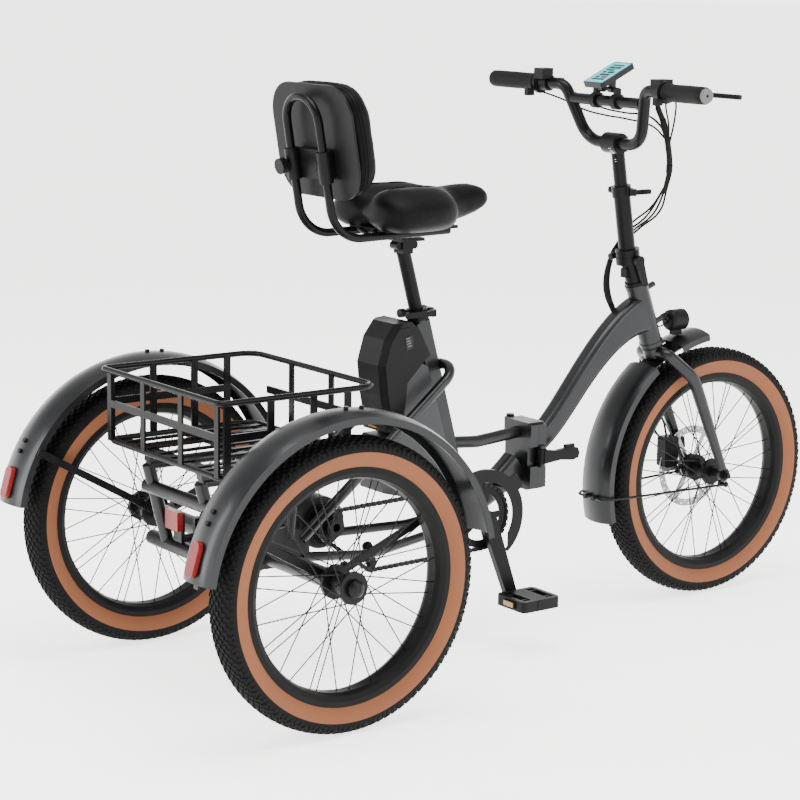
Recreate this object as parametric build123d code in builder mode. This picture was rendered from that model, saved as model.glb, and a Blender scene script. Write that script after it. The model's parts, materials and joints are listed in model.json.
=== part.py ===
from build123d import *
from math import cos, pi, radians, sin
import os

# Folding electric tricycle for an adult: two wheels behind, one in front.
# Millimetres. +X is forward, +Y is the rider's left, +Z is up, z = 0 is the ground.
# x = 0 is half way along the machine, y = 0 is its middle plane.

# ---------------------------------------------------------------- driving dimensions
WHEEL_R = 265.0
WHEELBASE = 1169.0
REAR_X = -560.0
FRONT_X = REAR_X + WHEELBASE
AXLE_Z = WHEEL_R
REAR_TRACK = 338.0            # middle plane of a rear wheel, to each side
TYRE_HALF = 33.0              # half the width of a tyre
BEAD_R = 205.2                # where the tyre sits on the rim
FENDER_R = 312.0
FENDER_HALF = 42.5
FENDER_THICK = 2.0
REFLECTOR_ANGLE = 163.5       # place of the rear reflectors round the wheel, from +X

HEAD_TOP = Vector(398, 0, 683)
HEAD_LOW = Vector(447, 0, 550)
HEAD_R = 23.0
STEERER_R = 14.3
STEM_BASE = Vector(373, 0, 741)
STEM_COLLAR = Vector(349, 0, 885)
BAR_CLAMP = Vector(327, 0, 972)
BAR_TOP_X = 311.0             # the handlebar's cross tube
BAR_TOP_Z = 1057.0
BAR_R = 12.0
GRIP_R = 16.5

CRANK = Vector(-48, 0, 262)
CRANK_LEN = 170.0
CRANK_ANGLE = radians(-69.3)  # right crank arm at rest, from +X
SEAT_TOP = Vector(-162, 0, 668)
SEAT_R = 17.0
POST_R = 13.6
POST_GAP = 0.06
POST_RISE = 121.5             # seat post showing above the frame
CHAIN_Y = -66.0
CHAINRING_R = 61.0

HINGE_X = 112.0
HINGE_Y = 46.0
HINGE_LOW = 292.0
HINGE_TOP = 428.0
PIN_R = 5.0
RUN_GAP = 0.05

BASKET_LOW = Vector(-731, -207, 446)
BASKET_TOP = Vector(-399, 207, 580)
RAIL_Y = 92.0
RAIL_Z = 416.0
RAIL_R = 10.0

X_AXIS = (1, 0, 0)
Y_AXIS = (0, 1, 0)
SIDES = {"left": 1, "right": -1}

os.makedirs("parts", exist_ok=True)


def save(builder, name):
    """Label a finished piece and write its STEP file."""
    builder.part.label = name
    export_step(builder.part, f"parts/{name}.step")


# ---------------------------------------------------------------- drawing helpers
def rod(start, end, radius, mode=Mode.ADD):
    """A straight round bar from start to end, in the part being built."""
    start = Vector(*start)
    end = Vector(*end)
    with BuildSketch(Plane(origin=start, z_dir=end - start)) as section:
        Circle(radius)
    extrude(section.sketch, amount=(end - start).length, mode=mode)


def pipe(points, bends, radius):
    """A round tube along straight runs joined by tangent arcs."""
    with BuildLine() as route:
        FilletPolyline(*points, radius=bends)
    with BuildSketch(Plane(origin=route.line @ 0, z_dir=route.line % 0)) as section:
        Circle(radius)
    sweep(section.sketch, path=route.line)


def ring(points, bends, radius):
    """A closed round-tube loop; the last point joins the first."""
    with BuildLine() as route:
        FilletPolyline(*points, radius=bends, close=True)
    with BuildSketch(Plane(origin=route.line @ 0, z_dir=route.line % 0)) as section:
        Circle(radius)
    sweep(section.sketch, path=route.line)


def block(low, high, mode=Mode.ADD):
    """A box between two opposite corners."""
    low = Vector(*low)
    high = Vector(*high)
    size = high - low
    with Locations((low + high) * 0.5):
        Box(abs(size.X), abs(size.Y), abs(size.Z), mode=mode)


def side_plate(outline, y_low, y_high, mode=Mode.ADD):
    """A flat plate lying in the XZ plane, from y_low to y_high."""
    with BuildSketch(Plane(origin=(0, y_low, 0), x_dir=X_AXIS, z_dir=(0, -1, 0))) as section:
        with BuildLine():
            Polyline(*outline, close=True)
        make_face()
    extrude(section.sketch, amount=-(y_high - y_low), mode=mode)


def spun(centre, profile, arc=360, start=90):
    """Revolve a closed (across, radius) outline about the Y axis through centre.

    start is the angle from +X towards +Z where the sweep begins; it runs forward over the top."""
    angle = radians(start)
    plane = Plane(origin=centre, x_dir=Y_AXIS, z_dir=(sin(angle), 0, -cos(angle)))
    with BuildSketch(plane) as section:
        with BuildLine():
            profile()
        make_face()
    revolve(section.sketch, axis=Axis(centre, Y_AXIS), revolution_arc=arc)


def along(start, end, distance):
    """The point at a distance from start towards end."""
    return start + (end - start).normalized() * distance


def wheel_point(radius, angle, y, centre_x=REAR_X):
    """A point beside a wheel, by radius and angle from +X towards +Z."""
    turn = radians(angle)
    return Vector(centre_x + radius * cos(turn), y, AXLE_Z + radius * sin(turn))


# ---------------------------------------------------------------- wheels
def tyre_outline():
    ThreePointArc((-22, 213.5), (-TYRE_HALF, 238), (-25, 258))
    ThreePointArc((-25, 258), (0, WHEEL_R), (25, 258))
    ThreePointArc((25, 258), (TYRE_HALF, 238), (22, 213.5))
    Polyline((22, 213.5), (22, BEAD_R), (17, BEAD_R), (17, 213.5))
    ThreePointArc((17, 213.5), (28.5, 237), (21, 254))
    ThreePointArc((21, 254), (0, 259), (-21, 254))
    ThreePointArc((-21, 254), (-28.5, 237), (-17, 213.5))
    Polyline((-17, 213.5), (-17, BEAD_R), (-22, BEAD_R), (-22, 213.5))


def rim_outline():
    half = [(0, 190), (10, 190), (20, 194), (25, 203), (25, 213), (22.3, 213), (22.3, 205), (12, 205),
            (9, 200), (0, 200)]
    other = [(-across, radius) for across, radius in reversed(half[1:-1])]
    Polyline(*half, *other, close=True)


def tyre_and_rim(prefix, centre):
    with BuildPart() as tyre:
        spun(centre, tyre_outline)
    save(tyre, f"{prefix}_tyre")
    with BuildPart() as rim:
        spun(centre, rim_outline)
    save(rim, f"{prefix}_rim")


def spokes(prefix, centre, flange_r, flange_y, crossing):
    """Thirty-six laced spokes: nine each way from each flange."""
    with BuildPart() as lacing:
        for side in (1, -1):
            for lean in (1, -1):
                for step in range(9):
                    turn = 2 * pi * (step + (0.5 if side > 0 else 0)) / 9 + (0.12 if lean > 0 else -0.12)
                    hub_turn = turn - lean * crossing
                    hub_y = side * flange_y + lean * 2.6
                    rim_y = side * (4 + lean * 1.5)
                    foot = centre + Vector(flange_r * cos(hub_turn), hub_y, flange_r * sin(hub_turn))
                    head = centre + Vector(191.0 * cos(turn), rim_y, 191.0 * sin(turn))
                    rod(foot, head, 1.1)
    save(lacing, f"{prefix}_spokes")


front_centre = Vector(FRONT_X, 0, AXLE_Z)
tyre_and_rim("front", front_centre)
spokes("front", front_centre, 24.5, 24, 1.0)


def front_hub_outline():
    Polyline((-32, 5.05), (-32, 12), (-27.5, 12), (-27.5, 28), (-20.5, 28), (-20.5, 19), (-8, 16), (8, 16),
             (20.5, 19), (20.5, 28), (27.5, 28), (27.5, 22), (42, 22), (42, 5.05), close=True)


with BuildPart() as front_hub:
    spun(front_centre, front_hub_outline)
save(front_hub, "front_hub")

ROTOR_Y = 43.0
ROTOR_R = 88.0
with BuildPart() as rotor:
    face = Plane(origin=(FRONT_X, ROTOR_Y + 1.0, AXLE_Z), x_dir=X_AXIS, z_dir=(0, -1, 0))
    with BuildSketch(face):
        Circle(ROTOR_R)
        Circle(ROTOR_R - 15, mode=Mode.SUBTRACT)
        Circle(27)
        Circle(14, mode=Mode.SUBTRACT)
        with PolarLocations((ROTOR_R - 12 + 26) / 2, 6):
            Rectangle(ROTOR_R - 12 - 24, 9)
        with PolarLocations(ROTOR_R - 5, 24):
            Circle(2.4, mode=Mode.SUBTRACT)
        with PolarLocations(ROTOR_R - 11, 24, start_angle=7.5):
            Circle(2.0, mode=Mode.SUBTRACT)
    extrude(amount=2)
save(rotor, "front_rotor")

SHAFT_R = 8.5
REAR_FLANGE_Y = 26


def rear_hub_left():
    inner = 4 - REAR_TRACK
    Polyline((inner, 0), (inner, SHAFT_R), (-36, SHAFT_R), (-36, 14), (-30, 14), (-30, 31), (-22, 31),
             (-22, 18),
             (22, 18), (22, 29), (30, 29), (30, 17), (38, 16), (42, 12), (44, 6), (44, 0), close=True)


def rear_hub_right():
    inner = REAR_TRACK - 4
    Polyline((inner, 0), (inner, SHAFT_R), (36, SHAFT_R), (36, 14), (30, 14), (30, 31), (22, 31), (22, 18),
             (-22, 18), (-22, 29), (-30, 29), (-30, 17), (-38, 16), (-42, 12), (-44, 6), (-44, 0), close=True)


for name, side in SIDES.items():
    centre = Vector(REAR_X, side * REAR_TRACK, AXLE_Z)
    tyre_and_rim(f"rear_{name}", centre)
    spokes(f"rear_{name}", centre, 26.5, REAR_FLANGE_Y, 1.0)
    with BuildPart() as rear_hub:
        spun(centre, rear_hub_left if side > 0 else rear_hub_right)
    save(rear_hub, f"rear_{name}_hub")


# ---------------------------------------------------------------- rear frame, one weldment
def seat_at(z):
    """Centre of the seat tube at height z."""
    return CRANK + (SEAT_TOP - CRANK) * ((z - CRANK.Z) / (SEAT_TOP.Z - CRANK.Z))


seat_dir = (SEAT_TOP - CRANK).normalized()
POST_HEAD = SEAT_TOP + seat_dir * POST_RISE
REAR_TUBE_X = REAR_X - 100
POST_TOP_X = REAR_TUBE_X - 41
AXLE_TUBE_R = 18.0
BEARING_R = 14.0
AXLE_TUBE_END = 288.0
STRUT_Y = REAR_TRACK - FENDER_HALF - 3.0
STRUT_ANGLES = (22, 150)
SHELL_R = 23.0
SHELL_HALF = 36.0

with BuildPart() as rear_frame:
    # shaped seat tube with a flat front, round at the top where the post enters
    foot = Plane(origin=CRANK, x_dir=Y_AXIS, z_dir=seat_dir)
    with BuildSketch(foot):
        RectangleRounded(34, 38, 8)
    extrude(amount=(seat_at(650) - CRANK).length)
    rod(CRANK, SEAT_TOP, SEAT_R)
    # bottom bracket shell
    rod(CRANK - Vector(0, SHELL_HALF, 0), CRANK + Vector(0, SHELL_HALF, 0), SHELL_R)
    # deep lower tube from the shell up to the hinge
    for origin, lean, deep in (((-46, 0, 262), 20, 48), ((28, 0, 298), 32, 50), ((90, 0, 341), 42, 60)):
        way = Vector(cos(radians(lean)), 0, sin(radians(lean)))
        with BuildSketch(Plane(origin=origin, x_dir=Y_AXIS, z_dir=way)):
            RectangleRounded(42, deep, 15)
    loft()
    # slim top tube with a shallow dip
    pipe([(-78, 0, 402), (-10, 0, 396), (30, 0, 399), (98, 0, 405)], [120, 150], 12)
    # hinge plate, with the knuckles that carry the hinge pin
    block((92, -36, HINGE_LOW), (HINGE_X - 0.2, 36, HINGE_TOP))
    for low, high in ((296, 340), (380, 424)):
        block((92, -46, low), (HINGE_X - 0.2, -35, high))
    for low, high in ((HINGE_LOW, 322), (398, HINGE_TOP)):
        rod((HINGE_X, HINGE_Y, low), (HINGE_X, HINGE_Y, high), 9)
        block((97, 30, low), (HINGE_X - 0.2, HINGE_Y, high))
    # tube that wraps the front of the seat tube and runs down to the axle plates on both sides
    pipe([(-486, RAIL_Y, 283), (-300, 76, 419), (-106, 59, 563), (-106, -59, 563), (-300, -76, 419),
          (-486, -RAIL_Y, 283)], [200, 44, 44, 200], RAIL_R)
    block((-126, -12, 553), (-108, 12, 573))
    # rear bottom tube and the upper cross tube
    rod((REAR_TUBE_X, -150, AXLE_Z - 4), (REAR_TUBE_X, 150, AXLE_Z - 4), 14)
    rod((REAR_TUBE_X - 32, -112, 372), (REAR_TUBE_X - 32, 112, 372), 13)
    rod((-436, -RAIL_Y, RAIL_Z), (-436, RAIL_Y, RAIL_Z), RAIL_R)
    # axle tubes
    rod((REAR_X, -AXLE_TUBE_END, AXLE_Z), (REAR_X, -58, AXLE_Z), AXLE_TUBE_R)
    rod((REAR_X, 58, AXLE_Z), (REAR_X, AXLE_TUBE_END, AXLE_Z), AXLE_TUBE_R)
    for side in SIDES.values():
        y = side * RAIL_Y
        # chain stays
        pipe([(-60, side * 30, 250), (-150, side * 44, 238), (-330, side * 90, 232), (-486, y, 250)],
             [150, 200], 9)
        # side plates round the axle
        side_plate([(-604, 240), (-470, 236), (-470, 292), (-520, 312), (-604, 300)], y - 4, y + 4)
        # stays behind the plates, posts and basket rails
        rod((-590, y, 262), (REAR_TUBE_X, y, AXLE_Z - 4), 11)
        rod((REAR_TUBE_X, y, AXLE_Z - 4), (POST_TOP_X, y, RAIL_Z), 12)
        rod((-512, y, 290), (-500, y, RAIL_Z), RAIL_R)
        rod((POST_TOP_X, y, RAIL_Z), (-330, y * 0.86, RAIL_Z), RAIL_R)
        for x in (-690, -450):
            block((x - 14, y - 9, RAIL_Z + 6), (x + 14, y + 9, BASKET_LOW.Z - 5.6))
        # tabs at the axle tube ends that the fender struts bolt to
        for angle in STRUT_ANGLES:
            root = wheel_point(0, angle, 0)
            tip = wheel_point(46, angle, 0)
            across = wheel_point(9, angle + 90, 0) - root
            corners = [root + across, tip + across, tip - across, root - across]
            inner = side * (STRUT_Y - 7) - 4
            side_plate([(corner.X, corner.Z) for corner in corners], inner, inner + 8)
    # small hanging tab under the rear tube
    block((REAR_TUBE_X - 3, -18, 196), (REAR_TUBE_X + 3, -4, AXLE_Z - 4))
    # tail light bracket
    block((REAR_TUBE_X - 6, 34, AXLE_Z), (REAR_TUBE_X + 2, 62, 330))
    # bores: seat tube, bottom bracket, axle
    rod(seat_at(430), SEAT_TOP + seat_dir * 6, POST_R + POST_GAP, mode=Mode.SUBTRACT)
    rod(CRANK - Vector(0, SHELL_HALF + 8, 0), CRANK + Vector(0, SHELL_HALF + 8, 0), 17.5, mode=Mode.SUBTRACT)
    bore_end = AXLE_TUBE_END + 5
    rod((REAR_X, -bore_end, AXLE_Z), (REAR_X, bore_end, AXLE_Z), BEARING_R, mode=Mode.SUBTRACT)
    for z in (HINGE_LOW, 398):
        rod((HINGE_X, HINGE_Y, z - 2), (HINGE_X, HINGE_Y, z + 34), PIN_R, mode=Mode.SUBTRACT)
save(rear_frame, "rear_frame")

with BuildPart() as bearings_and_pin:
    for side in SIDES.values():
        # bottom bracket cups
        cup_mouth = CRANK + Vector(0, side * (SHELL_HALF + 5), 0)
        with BuildSketch(Plane(origin=cup_mouth, x_dir=X_AXIS, z_dir=(0, -side, 0))):
            Circle(17.5)
            Circle(9 + RUN_GAP, mode=Mode.SUBTRACT)
        extrude(amount=17)
        # axle bearings
        for y in (AXLE_TUBE_END - 12, 66):
            with BuildSketch(Plane(origin=(REAR_X, side * y, AXLE_Z), x_dir=X_AXIS, z_dir=(0, -side, 0))):
                Circle(BEARING_R)
                Circle(SHAFT_R + RUN_GAP, mode=Mode.SUBTRACT)
            extrude(amount=10)
    # headed pin of the folding hinge
    rod((HINGE_X, HINGE_Y, HINGE_LOW), (HINGE_X, HINGE_Y, HINGE_TOP), PIN_R)
    rod((HINGE_X, HINGE_Y, HINGE_TOP), (HINGE_X, HINGE_Y, HINGE_TOP + 4), 8)
    rod((HINGE_X, HINGE_Y, HINGE_LOW - 3), (HINGE_X, HINGE_Y, HINGE_LOW), 8)
save(bearings_and_pin, "bearings_and_pin")

# drive unit: gear motor, chain case and differential housing in one casting group
MOTOR_X = -398.0
MOTOR_Z = 290.0
with BuildPart() as drive_unit:
    rod((REAR_X, -55, AXLE_Z), (REAR_X, 55, AXLE_Z), 42)
    rod((MOTOR_X, -32, MOTOR_Z), (MOTOR_X, 64, MOTOR_Z), 50)
    side_plate([(-575, 240), (-400, 262), (-390, 320), (-560, 296)], 18, 46)
    for y in (-32, 64):
        side = 1 if y > 0 else -1
        rod((MOTOR_X, y, MOTOR_Z), (MOTOR_X, y + side * 5, MOTOR_Z), 38)
    fillet(drive_unit.edges().filter_by(GeomType.CIRCLE).filter_by(lambda e: e.radius > 49), radius=4)
    rod((REAR_X, -50, AXLE_Z), (REAR_X, 50, AXLE_Z), 32, mode=Mode.SUBTRACT)
    rod((REAR_X, -60, AXLE_Z), (REAR_X, 60, AXLE_Z), 9.2, mode=Mode.SUBTRACT)
    rod((MOTOR_X, -53, MOTOR_Z), (MOTOR_X, -37, MOTOR_Z), 8)
save(drive_unit, "drive_unit")

# battery dock: the grey housing between the seat tube and the battery
DOCK = [(-160, 566), (-92, 345), (-100, 318), (-150, 300), (-262, 330), (-284, 392), (-258, 436), (-224, 436),
        (-214, 504), (-212, 536), (-174, 574)]


def clear_of_seat(gap, mode=Mode.SUBTRACT):
    """Cut away everything from the seat tube's rear face forward."""
    with BuildSketch(Plane(origin=CRANK + seat_dir * -80, x_dir=Y_AXIS, z_dir=seat_dir)) as section:
        with Locations((0, -40 + 19 + gap)):
            Rectangle(120, 80)
    extrude(section.sketch, amount=560, mode=mode)


with BuildPart() as battery_dock:
    side_plate(DOCK, -38, 38)
    clear_of_seat(0.3)
    fillet(battery_dock.edges().filter_by(GeomType.LINE).filter_by(Axis.Y), radius=4)
save(battery_dock, "battery_dock")

BATTERY = [(-186, 640), (-206, 658), (-240, 655), (-262, 626), (-276, 578), (-270, 520), (-256, 454),
           (-226, 446), (-217, 505), (-214, 540), (-171, 583), (-160, 590)]
with BuildPart() as battery_pack:
    side_plate(BATTERY, -45, 45)
    clear_of_seat(1.0)
    rear_edges = battery_pack.edges().filter_by(lambda e: e.center().X < -246 and abs(e.center().Y) > 44)
    chamfer(rear_edges, length=11)
save(battery_pack, "battery_pack")

COLLAR_EAR = SEAT_TOP + Vector(26, 0, -2)
with BuildPart() as seat_collar:
    rod(SEAT_TOP - seat_dir * 14, SEAT_TOP + seat_dir * 6, SEAT_R + 5)
    block(COLLAR_EAR + Vector(-14, -9, -8), COLLAR_EAR + Vector(9, 9, 9))
    rod(COLLAR_EAR - Vector(0, 10.8, 0), COLLAR_EAR + Vector(0, 13, 0), 3)
    rod(COLLAR_EAR + Vector(0, 9, 0), COLLAR_EAR + Vector(0, 17, 0), 7.5)
    # locating knob at the back
    rod(SEAT_TOP - Vector(18, 0, 0), SEAT_TOP - Vector(30, 0, 0), 5)
    rod(SEAT_TOP - Vector(30, 0, 0), SEAT_TOP - Vector(41, 0, 0), 8.5)
    rod(SEAT_TOP - seat_dir * 20, SEAT_TOP, SEAT_R, mode=Mode.SUBTRACT)
    rod(SEAT_TOP - seat_dir * 2, SEAT_TOP + seat_dir * 9, POST_R + 0.4, mode=Mode.SUBTRACT)
    block(COLLAR_EAR + Vector(-14, -1, -12), COLLAR_EAR + Vector(12, 1, 4), mode=Mode.SUBTRACT)
save(seat_collar, "seat_collar")

# ---------------------------------------------------------------- chain drive
CASSETTE = Vector(MOTOR_X, CHAIN_Y, MOTOR_Z)
PULLEY = Vector(-309, CHAIN_Y, 207)
UPPER_PULLEY = Vector(-318, CHAIN_Y, 240)
CASSETTE_R = 26.0

with BuildPart() as chain:
    with BuildSketch(Plane(origin=(0, CHAIN_Y - 3, 0), x_dir=X_AXIS, z_dir=(0, -1, 0))):
        with Locations((CRANK.X, CRANK.Z)):
            Circle(CHAINRING_R + 6)
        with Locations((CASSETTE.X, CASSETTE.Z)):
            Circle(CASSETTE_R + 6)
        with Locations((PULLEY.X, PULLEY.Z)):
            Circle(17)
        make_hull()
        offset(amount=-5.4, mode=Mode.SUBTRACT)
    extrude(amount=-6)
save(chain, "chain")

with BuildPart() as cassette:
    for place, radius in enumerate((37, 34, 31, 28, CASSETTE_R - 0.6, 22, 19)):
        y = -45 - place * 5
        rod((MOTOR_X, y, MOTOR_Z), (MOTOR_X, y - 2, MOTOR_Z), radius)
    rod((MOTOR_X, -44, MOTOR_Z), (MOTOR_X, -79, MOTOR_Z), 15)
    rod((MOTOR_X, -37.5, MOTOR_Z), (MOTOR_X, -90, MOTOR_Z), 8 + RUN_GAP, mode=Mode.SUBTRACT)
save(cassette, "cassette")

with BuildPart() as derailleur:
    for y in (CHAIN_Y - 7, CHAIN_Y + 5):
        with BuildSketch(Plane(origin=(0, y, 0), x_dir=X_AXIS, z_dir=(0, -1, 0))):
            with Locations((PULLEY.X, PULLEY.Z), (UPPER_PULLEY.X, UPPER_PULLEY.Z)):
                Circle(8)
            make_hull()
        extrude(amount=-2)
    for wheel in (PULLEY, UPPER_PULLEY):
        rod(wheel - Vector(0, 5, 0), wheel + Vector(0, 5, 0), 4)
        rod(wheel - Vector(0, 1.5, 0), wheel + Vector(0, 1.5, 0), 10.5)
save(derailleur, "derailleur")

with BuildPart() as chain_guard:
    guard = Plane(origin=(CRANK.X, -77, CRANK.Z), x_dir=X_AXIS, z_dir=(0, -1, 0))
    with BuildSketch(guard):
        Circle(96)
        Circle(71, mode=Mode.SUBTRACT)
        with Locations((-60, -60)):
            Rectangle(240, 90, mode=Mode.SUBTRACT)
        with Locations((-110, 0)):
            Rectangle(80, 240, mode=Mode.SUBTRACT)
    extrude(amount=3)
    with BuildSketch(guard):
        Circle(96)
        Circle(93, mode=Mode.SUBTRACT)
        with Locations((-60, -60)):
            Rectangle(240, 90, mode=Mode.SUBTRACT)
        with Locations((-110, 0)):
            Rectangle(80, 240, mode=Mode.SUBTRACT)
    extrude(amount=-6)
    # arm to the lower tube
    side_plate([(0, 330), (26, 300), (46, 316), (30, 344)], -80, -77)
    rod((24, -78, 312), (24, -21.2, 312), 5)
save(chain_guard, "chain_guard")

# ---------------------------------------------------------------- cranks and pedals
crank_way = Vector(cos(CRANK_ANGLE), 0, sin(CRANK_ANGLE))
ARM_Y = 90.0
PEDAL_Y = 146.0
with BuildPart() as crankset:
    rod(CRANK - Vector(0, ARM_Y, 0), CRANK + Vector(0, ARM_Y, 0), 9)
    for side in SIDES.values():
        way = crank_way * (-side)
        tip = CRANK + way * CRANK_LEN
        plane = Plane(origin=CRANK + Vector(0, side * ARM_Y - 7, 0), x_dir=way, z_dir=Y_AXIS)
        with BuildSketch(plane):
            with Locations((0, 0)):
                Circle(17)
            with Locations((CRANK_LEN, 0)):
                Circle(12.5)
            make_hull()
        extrude(amount=14)
        rod(CRANK + Vector(0, side * 80, 0), CRANK + Vector(0, side * (ARM_Y + 9), 0), 11)
        # pedal spindle, screwed into the arm
        rod(tip + Vector(0, side * (ARM_Y - 7), 0), tip + Vector(0, side * (PEDAL_Y + 44), 0), 6)
    # chainring with five arms
    ring_plane = Plane(origin=(CRANK.X, CHAIN_Y - 1.5, CRANK.Z), x_dir=X_AXIS, z_dir=Y_AXIS)
    with BuildSketch(ring_plane):
        Circle(CHAINRING_R)
        Circle(CHAINRING_R - 14, mode=Mode.SUBTRACT)
        Circle(20)
        with PolarLocations((CHAINRING_R - 8) / 2, 5):
            Rectangle(CHAINRING_R - 10, 13)
    extrude(amount=3)
save(crankset, "crankset")

for name, side in SIDES.items():
    tip = CRANK + crank_way * (-side) * CRANK_LEN
    middle = tip + Vector(0, side * PEDAL_Y, 0)
    with BuildPart() as pedal:
        # outer frame with open slots each side of the spindle barrel
        block(middle - Vector(46, 43, 11), middle + Vector(46, 43, 11))
        fillet(pedal.edges().filter_by(Axis.Z), radius=9)
        for x in (-28, 28):
            with Locations(middle + Vector(x, 0, 0)):
                Box(18, 66, 40, mode=Mode.SUBTRACT)
        for across in (-22, 22):
            block(middle + Vector(-42, across - 2, -10), middle + Vector(42, across + 2, 10))
        for x in (-47.5, 47.5):
            with Locations(middle + Vector(x, 0, 0)):
                Box(4, 34, 13)
        rod(middle - Vector(0, 44, 0), middle + Vector(0, 44, 0), 11)
        rod(middle - Vector(0, 60, 0), middle + Vector(0, 60, 0), 6 + RUN_GAP, mode=Mode.SUBTRACT)
    save(pedal, f"pedal_{name}")


# ---------------------------------------------------------------- fenders
def fender_outline():
    """Thin C-section: crowned top and turned-down sides."""
    low = FENDER_R - 22
    shoulder = FENDER_R - 9
    side_in = FENDER_HALF - FENDER_THICK
    Line((-FENDER_HALF, low), (-FENDER_HALF, shoulder))
    ThreePointArc((-FENDER_HALF, shoulder), (0, FENDER_R), (FENDER_HALF, shoulder))
    Polyline((FENDER_HALF, shoulder), (FENDER_HALF, low), (side_in, low), (side_in, shoulder - FENDER_THICK))
    ThreePointArc((side_in, shoulder - FENDER_THICK), (0, FENDER_R - FENDER_THICK),
                  (-side_in, shoulder - FENDER_THICK))
    Polyline((-side_in, shoulder - FENDER_THICK), (-side_in, low), (-FENDER_HALF, low))


REAR_TAIL = 171.0
REAR_LIP = 10.0
with BuildPart() as rear_fenders:
    for side in SIDES.values():
        hub = Vector(REAR_X, side * REAR_TRACK, AXLE_Z)
        spun(hub, fender_outline, arc=REAR_TAIL - REAR_LIP, start=REAR_TAIL)
save(rear_fenders, "rear_fenders")


with BuildPart() as fender_hardware:
    for side in SIDES.values():
        for angle in STRUT_ANGLES:
            start = wheel_point(22, angle, side * STRUT_Y)
            end = wheel_point(FENDER_R - 10, angle, side * STRUT_Y)
            across = Vector(-sin(radians(angle)), 0, cos(radians(angle)))
            with BuildSketch(Plane(origin=start, x_dir=across, z_dir=end - start)):
                Rectangle(14, 6)
            extrude(amount=(end - start).length)
            # bolt heads at the tab and at the fender's side
            for radius, y, reach in ((36, STRUT_Y - 11, -5), (FENDER_R - 16, STRUT_Y - 3, -3.5)):
                rod(wheel_point(radius, angle, side * y), wheel_point(radius, angle, side * (y + reach)), 5)
        # button heads along the top of the fender
        for angle in (84, 90, 148, 152):
            foot = wheel_point(FENDER_R, angle, side * REAR_TRACK)
            rod(foot, wheel_point(FENDER_R + 4, angle, side * REAR_TRACK), 4.5)
save(fender_hardware, "fender_hardware")

with BuildPart() as reflectors:
    for side in SIDES.values():
        foot = wheel_point(FENDER_R, REFLECTOR_ANGLE, side * REAR_TRACK)
        way = wheel_point(FENDER_R + 10, REFLECTOR_ANGLE, side * REAR_TRACK) - foot
        upward = Vector(way.Z, 0, -way.X) * -1
        with BuildSketch(Plane(origin=foot, x_dir=upward, z_dir=way)):
            SlotOverall(62, 24)
        extrude(amount=9)
    # square tail light on its bracket
    block((REAR_TUBE_X - 18, 28, 298), (REAR_TUBE_X - 6, 72, 334))
save(reflectors, "reflectors")

# ---------------------------------------------------------------- basket
with BuildPart() as basket:
    lo = BASKET_LOW
    hi = BASKET_TOP
    ring([(lo.X, lo.Y, hi.Z), (hi.X, lo.Y, hi.Z), (hi.X, hi.Y, hi.Z), (lo.X, hi.Y, hi.Z)],
         [12, 34, 34, 12], 5.5)
    ring([(lo.X + 8, lo.Y + 8, lo.Z), (hi.X - 8, lo.Y + 8, lo.Z), (hi.X - 8, hi.Y - 8, lo.Z),
          (lo.X + 8, hi.Y - 8, lo.Z)], [25, 34, 34, 25], 5.5)
    # flat upright bars and the waist band
    for y in (-198, -66, 66, 198):
        for x in (lo.X + 5, hi.X - 5):
            if abs(y) < 190:
                block((x - 2, y - 7, lo.Z), (x + 2, y + 7, hi.Z))
    for x in (-715, -625, -535, -462):
        for y in (lo.Y + 4, hi.Y - 4):
            block((x - 7, y - 2, lo.Z), (x + 7, y + 2, hi.Z))
    for y in (lo.Y + 4, hi.Y - 4):
        block((-715, y - 2, 510), (-462, y + 2, 524))
    for x in (lo.X + 5, hi.X - 5):
        block((x - 2, -150, 510), (x + 2, 150, 524))
    for y in (-188, 188):
        block((lo.X + 3, y - 7, lo.Z), (lo.X + 7, y + 7, hi.Z))
    block((lo.X + 3, -192, 510), (lo.X + 7, 192, 524))
    # floor slats
    for y in (-160, -120, -RAIL_Y, -40, 0, 40, RAIL_Y, 120, 160):
        block((lo.X + 8, y - 6, lo.Z - 2), (hi.X - 8, y + 6, lo.Z + 2))
    for x in (-690, -570, -450):
        block((x - 7, lo.Y + 8, lo.Z - 5.5), (x + 7, hi.Y - 8, lo.Z - 1))
save(basket, "basket")

# ---------------------------------------------------------------- front frame
head_dir = (HEAD_TOP - HEAD_LOW).normalized()
head_front = Vector(head_dir.Z, 0, -head_dir.X)      # square to the steering axis, forward
LEVER_PIVOT = Vector(120, -47, 0)


def on_head(distance):
    """Point on the steering axis, measured up from the head tube's lower end."""
    return HEAD_LOW + head_dir * distance


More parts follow.
